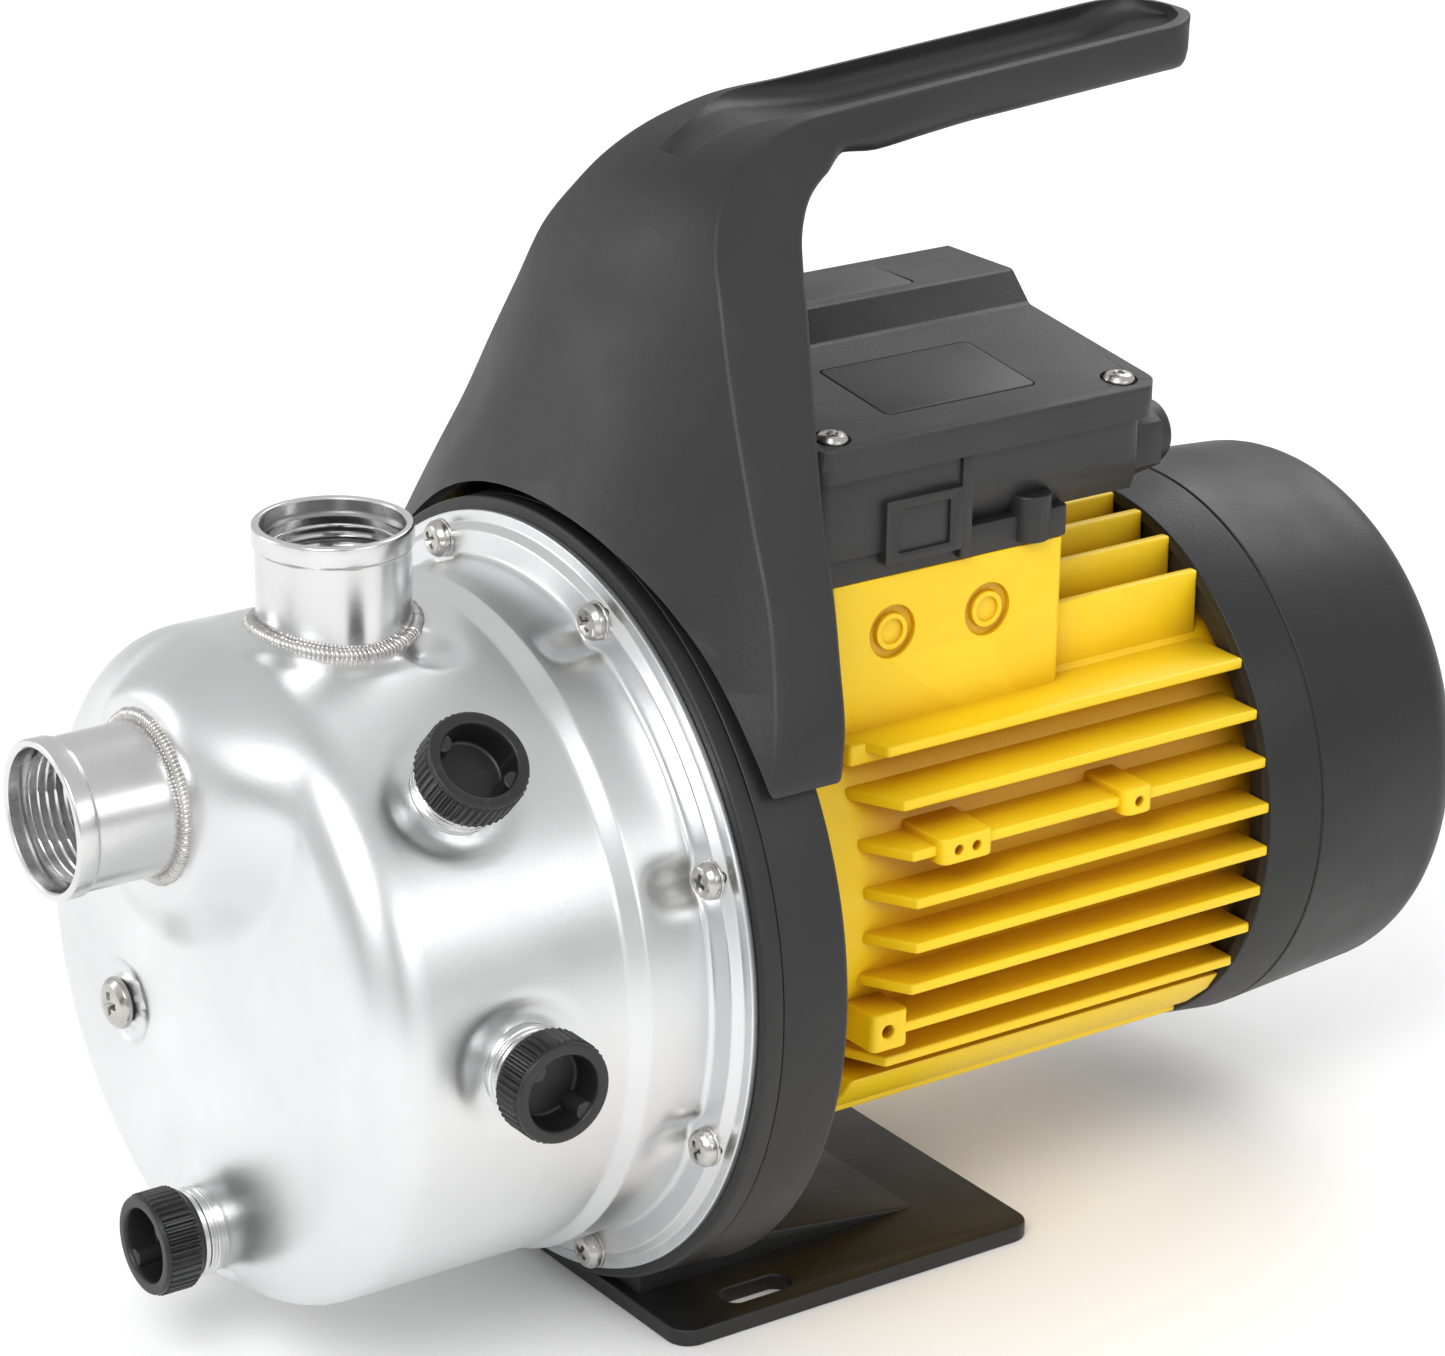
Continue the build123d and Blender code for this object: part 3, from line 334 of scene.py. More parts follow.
def copies(item, places, slot, roll=0.0, seed=3):
    """Real copies of a drawn mesh at (point, aim, size) places, as one object in millimetres."""
    model = solid(item, "item")
    for polygon in model.data.polygons:
        polygon.use_smooth = True
    data = bpy.data.meshes.new("places")
    data.from_pydata([place[0] for place in places], [], [])
    for name, number in (("aim", 1), ("size", 2)):
        attribute = data.attributes.new(name, "FLOAT_VECTOR", "POINT")
        for n, place in enumerate(places):
            attribute.data[n].vector = place[number]
    thing = bpy.data.objects.new("copies", data)
    bpy.context.scene.collection.objects.link(thing)
    modifier = thing.modifiers.new("Copies", "NODES")
    group = copier()
    ports = {item.name: item.identifier for item in group.interface.items_tree if item.in_out == "INPUT"}
    values = {"Item": model, "Roll": roll, "Seed": seed, "Finish": finishes()[slot]}
    modifier.node_group = group
    for name, value in values.items():
        modifier[ports[name]] = value
    settle(thing)
    data = model.data
    bpy.data.objects.remove(model)
    bpy.data.meshes.remove(data)
    return thing


FULL = (1.0, 1.0, 1.0)


def absorbed(thing, others):
    """Take other objects' faces into one object."""
    whole = bmesh.new()
    for each in [thing, *others]:
        whole.from_mesh(each.data)
    whole.to_mesh(thing.data)
    whole.free()
    for each in others:
        data = each.data
        bpy.data.objects.remove(each)
        bpy.data.meshes.remove(data)
    return thing


# ---- finishes ----
def finish_node(nodes, kind, **inputs):
    node = nodes.new(kind)
    for name, value in inputs.items():
        node.inputs[name.replace("_", " ")].default_value = value
    return node


def spread(nodes, links, source, low, high, start=0.0, end=1.0):
    """A source value carried from start..end to low..high."""
    node = nodes.new("ShaderNodeMapRange")
    node.inputs["From Min"].default_value = start
    node.inputs["From Max"].default_value = end
    node.inputs["To Min"].default_value = low
    node.inputs["To Max"].default_value = high
    links.new(source, node.inputs["Value"])
    return node.outputs["Result"]


def blend_colours(nodes, links, factor, first, second, mode="MIX"):
    node = nodes.new("ShaderNodeMix")
    node.data_type = "RGBA"
    node.blend_type = mode
    for number, value in ((6, first), (7, second)):
        if isinstance(value, (tuple, list)):
            node.inputs[number].default_value = (*value[:3], 1.0)
        else:
            links.new(value, node.inputs[number])
    if isinstance(factor, float):
        node.inputs[0].default_value = factor
    else:
        links.new(factor, node.inputs[0])
    return node.outputs[2]


def surface(slot, colour, other, metallic=0.0, rough=(0.4, 0.5), cloud=14.0, grain=900.0, depth=0.02,
            edge_wear_and_highlight=0.2, edge_wear_and_highlight_colour=(0.3, 0.3, 0.3), rings=0.0, root=None, painted_shade_reach=0.012, coat=0.0,
            stretch=(1.0, 1.0, 1.0)):
    """A procedural finish: clouded colour, uneven roughness, a fine grain, lighter edges for wear and as a painted
    highlight, and painted shade in the hollows where a root colour is given.
    """
    material = bpy.data.materials.new("finish_" + slot)
    material.use_nodes = True
    nodes, links = material.node_tree.nodes, material.node_tree.links
    shader = nodes["Principled BSDF"]
    place = nodes.new("ShaderNodeTexCoord")
    centre = nodes.new("ShaderNodeMapping")
    centre.inputs["Location"].default_value = -ORIGIN
    centre.inputs["Scale"].default_value = stretch
    links.new(place.outputs["Object"], centre.inputs["Vector"])
    clouds = finish_node(nodes, "ShaderNodeTexNoise", Scale=cloud, Detail=4.0, Roughness=0.6)
    grains = finish_node(nodes, "ShaderNodeTexNoise", Scale=grain, Detail=2.0)
    smears = finish_node(nodes, "ShaderNodeTexNoise", Scale=cloud * 2.7, Detail=5.0)
    for node in (clouds, grains, smears):
        links.new(centre.outputs["Vector"], node.inputs["Vector"])
    share = spread(nodes, links, clouds.outputs["Fac"], 0.0, 1.0, 0.35, 0.65)
    tone = blend_colours(nodes, links, share, colour, other)
    # painted shade: the hollows and fin roots darken to the root colour by ambient occlusion, standing in for shade
    # and for light bounced off the paint
    if root:
        shade = nodes.new("ShaderNodeAmbientOcclusion")
        shade.samples = 8
        shade.inputs["Distance"].default_value = painted_shade_reach
        painted_shade_share = spread(nodes, links, shade.outputs["AO"], 1.0, 0.0, 0.15, 0.8)
        tone = blend_colours(nodes, links, painted_shade_share, tone, root)
    # convex edges lightened by pointiness: edge wear, and a painted edge highlight
    shape = nodes.new("ShaderNodeNewGeometry")
    edges = spread(nodes, links, shape.outputs["Pointiness"], 0.0, edge_wear_and_highlight, 0.51, 0.58)
    edge_wear_and_highlight_share = nodes.new("ShaderNodeMath")
    edge_wear_and_highlight_share.operation = "MULTIPLY"
    links.new(edges, edge_wear_and_highlight_share.inputs[0])
    links.new(smears.outputs["Fac"], edge_wear_and_highlight_share.inputs[1])
    tone = blend_colours(nodes, links, edge_wear_and_highlight_share.outputs["Value"], tone, edge_wear_and_highlight_colour)
    links.new(tone, shader.inputs["Base Color"])
    uneven = spread(nodes, links, smears.outputs["Fac"], rough[0], rough[1], 0.3, 0.7)
    links.new(uneven, shader.inputs["Roughness"])
    shader.inputs["Metallic"].default_value = metallic
    shader.inputs["Coat Weight"].default_value = coat
    height = grains.outputs["Fac"]
    if rings:
        marks = finish_node(nodes, "ShaderNodeTexWave", Scale=140.0, Distortion=1.6, Detail=3.0)
        marks.wave_type = "RINGS"
        marks.rings_direction = "Y"
        links.new(centre.outputs["Vector"], marks.inputs["Vector"])
        both = nodes.new("ShaderNodeMath")
        both.operation = "MULTIPLY_ADD"
        both.inputs[1].default_value = rings
        links.new(marks.outputs["Fac"], both.inputs[0])
        links.new(height, both.inputs[2])
        height = both.outputs["Value"]
    relief = finish_node(nodes, "ShaderNodeBump", Strength=1.0, Distance=depth * MM)
    links.new(height, relief.inputs["Height"])
    links.new(relief.outputs["Normal"], shader.inputs["Normal"])
    return material


def finishes():
    """Every material slot's finish, made once."""
    if MADE:
        return MADE
    # the lighter edge colours of the metals and black plastics are edge wear and a painted edge highlight and sheen
    steel = dict(metallic=1.0, edge_wear_and_highlight=0.3, edge_wear_and_highlight_colour=(0.9, 0.9, 0.89))
    black = dict(rough=(0.42, 0.54), grain=1100.0, depth=0.06, edge_wear_and_highlight=0.35, edge_wear_and_highlight_colour=(0.07, 0.07, 0.073))
    made = {
        "stainless": surface("stainless", (0.76, 0.765, 0.77), (0.67, 0.675, 0.68), rough=(0.3, 0.38),
                             cloud=11.0, grain=1100.0, depth=0.016, rings=0.12, **steel),
        "stainless_turned": surface("stainless_turned", (0.73, 0.73, 0.73), (0.64, 0.64, 0.64),
                                    rough=(0.2, 0.3), cloud=20.0, grain=1500.0, depth=0.006, **steel),
        "weld_steel": surface("weld_steel", (0.6, 0.59, 0.57), (0.42, 0.4, 0.37), rough=(0.26, 0.42),
                              cloud=90.0, grain=900.0, depth=0.02, **steel),
        "screw_steel": surface("screw_steel", (0.56, 0.55, 0.52), (0.46, 0.45, 0.42), rough=(0.22, 0.34),
                               cloud=120.0, grain=1600.0, depth=0.008, **steel),
        # motor paint: the lighter yellow on the edges is a painted highlight, and the orange-brown root colour in
        # the hollows is painted shade
        "motor_paint": surface("motor_paint", (0.9, 0.6, 0.003), (0.86, 0.565, 0.003), rough=(0.4, 0.5),
                               grain=420.0, depth=0.035, edge_wear_and_highlight=0.4, edge_wear_and_highlight_colour=(1.0, 0.74, 0.02),
                               root=(0.5, 0.21, 0.0), painted_shade_reach=0.014),
        "bracket_paint": surface("bracket_paint", (0.007, 0.007, 0.007), (0.01, 0.01, 0.01), **black),
        "handle_plastic": surface("handle_plastic", (0.011, 0.0112, 0.0115), (0.015, 0.0152, 0.0155), **black),
        "cover_plastic": surface("cover_plastic", (0.006, 0.006, 0.006), (0.009, 0.009, 0.009), **black),
        "box_plastic": surface("box_plastic", (0.009, 0.0092, 0.0095), (0.013, 0.0132, 0.0135), **black),
        "cap_plastic": surface("cap_plastic", (0.006, 0.006, 0.006), (0.01, 0.01, 0.01),
                               rough=(0.34, 0.46), grain=1500.0, depth=0.012, edge_wear_and_highlight=0.3,
                               edge_wear_and_highlight_colour=(0.07, 0.07, 0.07)),
        "label_plastic": surface("label_plastic", (0.028, 0.028, 0.029), (0.033, 0.033, 0.034),
                                 rough=(0.46, 0.54), grain=1700.0, depth=0.01, edge_wear_and_highlight=0.2,
                                 edge_wear_and_highlight_colour=(0.1, 0.1, 0.1)),
        "rubber": surface("rubber", (0.016, 0.016, 0.016), (0.022, 0.022, 0.022), rough=(0.6, 0.75),
                          grain=700.0, depth=0.03, edge_wear_and_highlight=0.15, edge_wear_and_highlight_colour=(0.06, 0.06, 0.06)),
    }
    for entry in frame["record"]["materials"]:
        name = entry["slot"]
        if name in made:
            continue
        colour = list(entry["base_color"])[:3]
        metal = entry["class"] not in ("rubber", "ceramic") and "plastic" not in entry["class"]
        dim = [value * 0.82 for value in colour]
        made[name] = surface(name, colour, dim, metallic=1.0 if metal else 0.0, cloud=30.0, grain=800.0,
                             rough=(0.25, 0.4) if metal else (0.45, 0.6), depth=0.015, edge_wear_and_highlight=0.25,
                             edge_wear_and_highlight_colour=[min(1.0, value * 1.25) for value in colour])
    MADE.update(made)
    return MADE


# ---- pump housing ----
def spot(x, z, at, inner, outer):
    """1 within the inner radius of a place, falling smoothly to 0 at the outer."""
    return 1.0 - ease(math.hypot(x - at[0], z - at[1]), inner, outer)


def press_front(props, x, y, z):
    """How far the drawn sheet comes forward at a place of the front."""
    boss = props.boss
    dx, dz = x, z - props.suction_height
    away = math.hypot(dx, dz)
    angle = math.degrees(math.atan2(dz, dx))
    low_left = math.exp(-(((angle + 138 + 180) % 360 - 180) / 40.0) ** 2)
    right = math.exp(-(((angle - 12 + 180) % 360 - 180) / 38.0) ** 2)
    foot = props.boss_foot + 20.0 * low_left + 9.0 * right
    share = 1.0 - min(max((away - props.boss_seat) / (foot - props.boss_seat), 0.0), 1.0)
    rise = boss * (0.3 * share + 0.7 * share * share * (3 - 2 * share))
    screw = math.hypot(x - props.screw_x, (z - props.screw_z) * 1.05)
    rise -= 1.5 * ease(screw, 5.6, 7.8) * (1.0 - ease(screw, 9.0, 12.5))
    return rise


def press_housing(props, point, normal_out):
    """The pressed place of a point of the turned shell."""
    x, y, z = point
    on_front = 1.0 - ease(y, -80.0, -60.0)
    radius = math.hypot(x, z)
    if on_front > 0:
        point.y -= press_front(props, x, y, z) * on_front
        seat = spot(x, z, (0.0, props.drain_height), 11.5, 17.0)
        if y < -78 and seat > 0:
            level = -props.depth + (props.wall if normal_out < 0 else 0.0)
            point.y += (level - point.y) * seat
        crease = math.hypot(x + 2, z - props.drain_height - 2)
        left = ease(x, 14.0, -14.0) if x < 14 else 0.0
        point.y += 0.9 * left * ease(crease, 11.0, 13.5) * (1.0 - ease(crease, 17.0, 25.0)) * on_front
    if radius < 60 or y < -93 or y > -5.0:
        return
    angle = math.degrees(math.atan2(z, x))
    inward = 0.0
    for seat_angle, seat_y in ((46.0, -59.0), (0.0, -56.0)):
        along = math.hypot(math.radians(angle - seat_angle) * radius, y - seat_y)
        inward += 0.8 * ease(along, 10.0, 12.0) * (1.0 - ease(along, 13.5, 18.0))
    base = math.hypot(x - 22.0, y + 43.0)
    if z > 40:
        inward += 2.2 * (1.0 - ease(base, 1.5, 8.5))
        port = math.hypot(x, y - props.discharge_y)
        inward += 0.7 * ease(port, 19.5, 21.5) * (1.0 - ease(port, 22.5, 29.0))
    for n in range(props.screws):
        turn = (angle - props.screw_phase - n * 360.0 / props.screws + 180.0) % 360.0 - 180.0
        across = math.radians(turn) * 84.0
        if abs(across) < 12:
            inward += 2.6 * math.exp(-(across / 4.4) ** 2) * ease(y, -21.0, -13.0)
    if inward:
        keep = 1.0 - inward / radius
        point.x *= keep
        point.z *= keep


def build_housing(props):
    radius, depth, wall = props.radius, props.depth, props.wall
    outer = [
        (0.0, -depth),
        (radius, -depth, props.front_round),
        (radius, -27.2, 4.0),
        (radius + 2.0, -22.6, 2.4),
        (radius + 1.6, -5.2, 1.6),
        (90.6, -4.5, 0.9),
        (92.2, -2.0, 0.8),
        (props.flange, -1.8, 0.35),
        (props.flange, 0.0, 0.35),
    ]
    inner = [
        (92.0, 0.0),
        (90.4, -2.7),
        (radius + 0.0, -2.7),
        (radius + 0.2, -22.0),
        (radius - wall, -26.5, 3.0),
        (radius - wall, -depth + wall, props.front_round - wall),
        (0.0, -depth + wall),
    ]
    line = spaced(rounded(outer + inner, 9), 1.9)
    line = [(max(p[0], 0.0), p[1]) for p in line]
    mesh = turned(line, props.segments)
    mesh.transform(Matrix.Rotation(math.radians(-90), 4, "X"))
    for vert in mesh.verts:
        x, y, z = vert.co
        away = math.hypot(x, z)
        inside = -1.0 if (away < radius - wall * 0.5 and y > -depth + wall * 0.5) else 1.0
        press_housing(props, vert.co, inside)
    shell = solid(mesh)
    cutters = [moved(rod(18.35, -30, 30, 96), facing_front(0, -depth, props.suction_height)),
               moved(rod(18.35, -20, 20, 96), Matrix.Translation((0, props.discharge_y, radius)))]
    for place in plug_places():
        cutters.append(moved(rod(10.45, -14, 10, 64), place))
    for n in range(props.screws):
        x, z = polar(89.1, props.screw_phase + n * 360.0 / props.screws)
        cutters.append(moved(rod(2.8, -10, 10, 24), facing_front(x, -3.0, z)))
    cutters.append(moved(rod(3.3, -10, 10, 24), facing_front(props.screw_x, -depth, props.screw_z)))
    combine(shell, joined(cutters))
    piece(shell, "pump_shell", "stainless", replaces=["pump_housing"], sharp=32.0)


def plug_places():
    return [facing_out(82.4, 46.0, -59.0), facing_out(82.4, 0.0, -56.0), facing_front(0.0, -94.2, -66.0)]


# ---- ports and welds ----
def port_mesh(props, low, length):
    """A socket along Z with a turned band at its mouth and a helical thread inside."""
    outer, band, bore = props.radius, props.band, props.crest
    rim = [
        (outer, low), (outer, length - 6.2), (outer, length - 5.4, 0.6), (band, length - 4.9, 0.6),
        (band, length, 0.7), (props.counterbore + 0.4, length, 0.3), (props.counterbore, length - 0.5),
        (props.counterbore, length - 3.2, 0.4),
    ]
    rim = spaced(rounded(rim, 4)[:-1] + [Vector((props.counterbore, length - 3.2))], 4.0)[:-1]
    steps = int((length - 4.0 - low) / props.pitch * 8)
    top = length - 4.0

    def outline(angle):
        points = [(p[0], p[1]) for p in rim]
        for n in range(steps + 1):
            place = top + (low - top) * n / steps
            phase = (place / props.pitch + angle / (2 * math.pi)) % 1.0
            tooth = 1.0 - abs(2 * phase - 1.0)
            tooth = min(max((tooth - 0.12) / 0.76, 0.0), 1.0)
            fade = min(1.0, (top - place) / 1.2, max(0.0, (place - low - 3.0) / 2.0))
            points.append((bore + props.thread * tooth * max(fade, 0.0), place))
        return points

    return turned(outline, props.segments)


def build_ports(props):
    front = solid(moved(port_mesh(props, -14.0, 27.0), facing_front(0, -106.5, 49.0)))
    piece(front, "suction_socket", "stainless_turned", replaces=["suction_port"], sharp=38.0)
    top = solid(moved(port_mesh(props, -3.0, 24.0), Matrix.Translation((0, -55.7, 82.4))))
    piece(top, "discharge_socket", "stainless_turned", replaces=["discharge_port"], sharp=38.0)


def scale_of_weld():
    """One ripple of a weld bead: a flattened drop."""
    mesh = bmesh.new()
    bmesh.ops.create_uvsphere(mesh, u_segments=14, v_segments=8, radius=1.0)
    return mesh


def build_welds(props):
    """Fish-scale beads round both port bases."""
    chance = random.Random(props.seed)
    places = []
    reach = 18.35 + props.bead * 0.55
    count = int(2 * math.pi * reach / props.ripple)
    for n in range(count):
        angle = 2 * math.pi * n / count
        x, v = reach * math.cos(angle), reach * math.sin(angle)
        tangent = Vector((-math.sin(angle), 0.0, math.cos(angle)))
        swell = props.bead * chance.uniform(0.9, 1.08)
        size = (swell, swell, props.ripple * 0.95)
        places.append(((x, -106.5, 49.0 + v), tangent + Vector((0, -0.35, 0)), size))
        x, y = reach * math.cos(angle), -55.7 + reach * math.sin(angle)
        tangent = Vector((-math.sin(angle), math.cos(angle), 0.0))
        swell = props.bead * chance.uniform(0.88, 1.08)
        size = (swell, swell, props.ripple * 0.95)
        height = math.sqrt(82.4 ** 2 - x ** 2)
        places.append(((x, y, height), tangent + Vector((0, 0, 0.35)), size))
    beads = copies(scale_of_weld(), places, "weld_steel")
    piece(beads, "weld_beads", "weld_steel", replaces=["port_welds"], sharp=60.0)


# ---- plugs ----
def neck_mesh(props):
    outer, bore, height = props.neck, props.neck_bore, props.neck_height
    line = [(bore, -4.0), (outer, -4.0), (outer, 0.6)]
    for level in (1.6, 3.4):
        line += [(outer, level - 0.6, 0.2), (outer + 0.55, level - 0.35, 0.25), (outer + 0.55, level + 0.35, 0.25),
                 (outer, level + 0.6, 0.2)]
    line += [(outer, height, 0.3), (bore, height, 0.3)]
    return turned(rounded(line, 3), 96)


def ribbed_cap(props):
    """A cap with fine ribs, a rounded rim, a deep recess and two nubs in it."""
    seat = props.neck_height + props.gasket
    top = seat + props.cap_height
    radius, recess = props.cap, props.recess
    low = top - props.recess_depth
    line = [
        (0.0, seat - 8.6), (props.neck_bore - 0.05, seat - 8.6, 0.5), (props.neck_bore - 0.05, seat),
        (radius - 0.9, seat, 0.4), (radius - 0.45, seat + 0.9), (radius, seat + 1.3), (radius, top - 1.5),
        (radius - 0.45, top - 1.1), (radius - 0.5, top, 0.8), (recess + 0.3, top, 0.7), (recess - 0.1, top - 1.2),
        (recess - 0.35, low, 1.0), (0.0, low),
    ]
    line = rounded(line, 4)
    ribs = props.ribs

    def outline(angle):
        wave = 0.5 - 0.5 * math.cos(angle * ribs)
        depth = 0.85 * ease(wave, 0.15, 0.75)
        return [(p[0] - (depth if p[0] > radius - 0.2 else 0.0), p[1]) for p in line]

    mesh = turned(outline, ribs * 8)
    nubs = []
    for side in (-1, 1):
        nub = turned(rounded([(0, low - 0.5), (2.5, low - 0.5), (2.5, top - 0.9, 0.5), (0, top - 0.9)], 3), 32)
        nubs.append(moved(nub, Matrix.Translation((side * (recess + 0.1), 0, 0))))
    return joined([mesh, *nubs])


def build_plugs(props):
    places = plug_places()
    necks = solid(joined([moved(neck_mesh(props), place) for place in places]))
    piece(necks, "threaded_necks", "stainless_turned", replaces=["plug_necks"], sharp=40.0)
    for name, place in zip(("fill", "side", "drain"), places):
        turn = Matrix.Rotation(math.radians(props.turn), 4, "Z")
        cap = solid(moved(ribbed_cap(props), place @ turn))
        piece(cap, name + "_screw_cap", "cap_plastic", name + "_plug", [name + "_cap"], sharp=42.0)


# ---- screws ----
def pan_head(radius, height, shank, length):
    """A cross-recessed pan-head screw, head above zero, shank below."""
    dome = [(0.0, -length), (shank, -length, 0.4), (shank, 0.0), (radius, 0.0, 0.25), (radius, height * 0.42, 0.9),
            (radius * 0.78, height * 0.86, 1.2), (radius * 0.4, height * 0.985, 2.0), (0.0, height)]
    head = solid(turned(rounded(dome, 5), 64))
    arms = []
    for turn in (0, 90):
        arm = bmesh.new()
        high = [(x, y, height + 0.4) for x, y in ((-0.56, -0.155), (0.56, -0.155), (0.56, 0.155), (-0.56, 0.155))]
        low = [(x * 0.45, y * 0.5, height * 0.3) for x, y, _ in high]
        rings = []
        for ring in (low, high):
            rings.append([arm.verts.new((x * radius, y * radius, z)) for x, y, z in ring])
        bridge(arm, rings, closed=False)
        arm.faces.new(rings[0])
        arm.faces.new(rings[1])
        arms.append(moved(arm, Matrix.Rotation(math.radians(turn), 4, "Z")))
    for arm in arms:
        combine(head, arm)
    mesh = bmesh.new()
    mesh.from_mesh(head.data)
    data = head.data
    bpy.data.objects.remove(head)
    bpy.data.meshes.remove(data)
    return mesh


def build_screws(props):
    flange, washers = [], []
    for n in range(props.count):
        x, z = polar(props.circle, props.phase + n * 360.0 / props.count)
        flange.append(((x, -5.3, z), (0, -1, 0), FULL))
        washers.append(((x, -4.42, z), (0, -1, 0), FULL))
    heads = copies(pan_head(props.head, props.height, 2.45, 22.0), flange, "screw_steel", 6.28, props.seed)
    piece(heads, "flange_pan_screws", "screw_steel", replaces=["flange_screws"], sharp=38.0)
    ring = turned(rounded([(2.6, 0.0), (4.8, 0.0, 0.2), (4.8, 0.86, 0.3), (2.6, 0.86, 0.2)], 3), 48)
    piece(copies(ring, washers, "screw_steel"), "flange_screw_washers", "screw_steel", replaces=["flange_washers"])
    lid = [((sx * 43.5, y, 117.85), (0, 0, 1), FULL) for sx in (-1, 1) for y in (55.0, 142.0)]
    heads = copies(pan_head(4.0, 2.8, 1.5, 17.8), lid, "screw_steel", 6.28, props.seed + 1)
    piece(heads, "lid_pan_screws", "screw_steel", replaces=["lid_screws"], sharp=38.0)
    cover = []
    for angle in (130, 205, 280):
        x, z = polar(1.0, angle)
        cover.append(((x * 74.3, 182.5, z * 74.3), (x, 0, z), FULL))
    heads = copies(pan_head(3.6, 2.4, 1.85, 7.8), cover, "screw_steel", 6.28, props.seed + 2)
    piece(heads, "cover_pan_screws", "screw_steel", replaces=["cover_screws"], sharp=38.0)
    front = [((-37.4, -95.2, -20.6), (0, -1, 0), FULL)]
    heads = copies(pan_head(6.5, 3.2, 2.95, 16.0), front, "screw_steel", 6.28, props.seed + 5)
    piece(heads, "front_pan_screw", "screw_steel", replaces=["front_screw"], sharp=38.0)


# ---- front ring and bracket ----
def build_ring(props):
    line = [(84.6, -2.5), (89.5, -2.5), (89.5, 0.02), (props.radius, 0.02, 1.0), (props.radius, 5.15, 0.5),
            (84.6, 5.15)]
    ring = turned(rounded(line, 4), 256)
    ring.transform(ALONG_REAR)
    ring = solid(ring)
    combine(ring, slab(-120, 120, -20, 20, -120, -95.5))
    piece(ring, "flange_ring", "bracket_paint", replaces=["front_ring"])


def build_bracket(props):
    rear = props.rear_radius
    line = [(84.6, 5.25), (props.radius, 5.25, 0.5), (rear, 23.2, 1.6), (23.5, 23.2, 0.6), (23.5, 39.0, 1.0),
            (17.55, 39.0), (17.55, 28.0), (13.0, 28.0), (13.0, 17.2), (84.6, 17.2)]
    body = turned(rounded(line, 5), 256)
    body.transform(ALONG_REAR)
    body = solid(body)
    foot = solid(slab(-62.5, 62.5, 2.0, 111.0, -100.0, -95.5, props.corner, 8))
    for side in (-1, 1):
        half = (props.slot_length - props.slot_width) / 2
        slot = [(side * 52.5 + props.slot_width / 2 * math.cos(t), 31.0 + math.copysign(half, math.sin(t + 1e-9))
                 + props.slot_width / 2 * math.sin(t)) for t in [math.pi * n / 12 for n in range(24)]]
        combine(foot, prism(slot, -120, -80))
    soften(foot, 0.6, 3, 50)
    ramp = [(5.2, -97.0), (5.2, -87.0), (23.2, -87.0), (props.ramp_end, -95.4), (props.ramp_end, -97.0)]
    ramp = prism(ramp, -39.0, 39.0)
    ramp.transform(Matrix(((0, 0, 1, 0), (1, 0, 0, 0), (0, 1, 0, 0), (0, 0, 0, 1))))
    ramp = solid(ramp)
    combine(ramp, moved(rod(84.6, -10, 200, 192), ALONG_REAR))
    soften(ramp, 0.8, 3, 40)
    piece(absorbed(body, [foot, ramp]), "bracket_and_foot", "bracket_paint", replaces=["adapter_bracket"])


# ---- handle ----
def smooth_stations(stations, steps):
    """Stations joined by smooth curves through every value."""
    result = []
    last = len(stations) - 1
    for n in range(last):
        a, b, c, d = (stations[min(max(n + k, 0), last)] for k in (-1, 0, 1, 2))
        for step in range(steps):
            t = step / steps
            result.append([0.5 * (2 * q + (r - p) * t + (2 * p - 5 * q + 4 * r - s) * t * t
                                  + (3 * q - p - 3 * r + s) * t ** 3) for p, q, r, s in zip(a, b, c, d)])
    result.append(list(stations[-1]))
    return result


def handle_stations(props):
    """Front (y, z), rear (y, z), half width at the front and at the rear, from the foot to the tip."""
    leg = [
        (8.0, 51.0, 29.0, 51.0, 87.0, 87.0),
        (11.2, 64.0, 31.4, 64.0, 84.8, 84.8),
        (14.4, 77.0, 33.4, 77.0, 79.8, 79.8),
        (17.4, 91.5, 36.2, 91.0, 72.8, 73.0),
        (19.6, 108.0, 39.4, 106.0, 63.0, 64.2),
        (21.5, 125.0, 43.0, 121.0, 54.0, 56.0),
        (23.7, 141.0, 46.6, 135.0, 45.6, 48.6),
        (26.2, 156.0, 49.6, 147.0, 38.2, 42.6),
        (30.0, 167.0, 52.4, 157.5, 30.6, 36.6),
        (36.4, 176.4, 56.0, 166.4, 24.8, 31.0),
        (47.0, 183.8, 62.6, 173.6, 20.4, 26.2),
        (62.0, props.grip_top, 75.0, 178.2, 17.4, 21.2),
    ]
    half = props.grip_half
    for y in range(80, 172, 15):
        top = props.grip_top + (y - 62) * props.slope
        low = half - 0.6 + 3.4 * (1.0 - ease(y, 76.0, 112.0))
        leg.append((y, top, y + 8.0, top - props.grip_height, half, low))
    for turn in (0, 18, 36, 52, 66, 78, 86):
        reach = math.sin(math.radians(turn))
        narrow = math.cos(math.radians(turn))
        y = props.grip_end - half + half * reach
        top = props.grip_top + (y - 62) * props.slope - 0.8 * reach ** 6
        lift = props.grip_height * (1 - 0.66 * reach ** 2.2)
        leg.append((y, top, y + 8.0 - 12.0 * reach, top - lift, half * narrow, (half - 0.6) * narrow))
    return leg


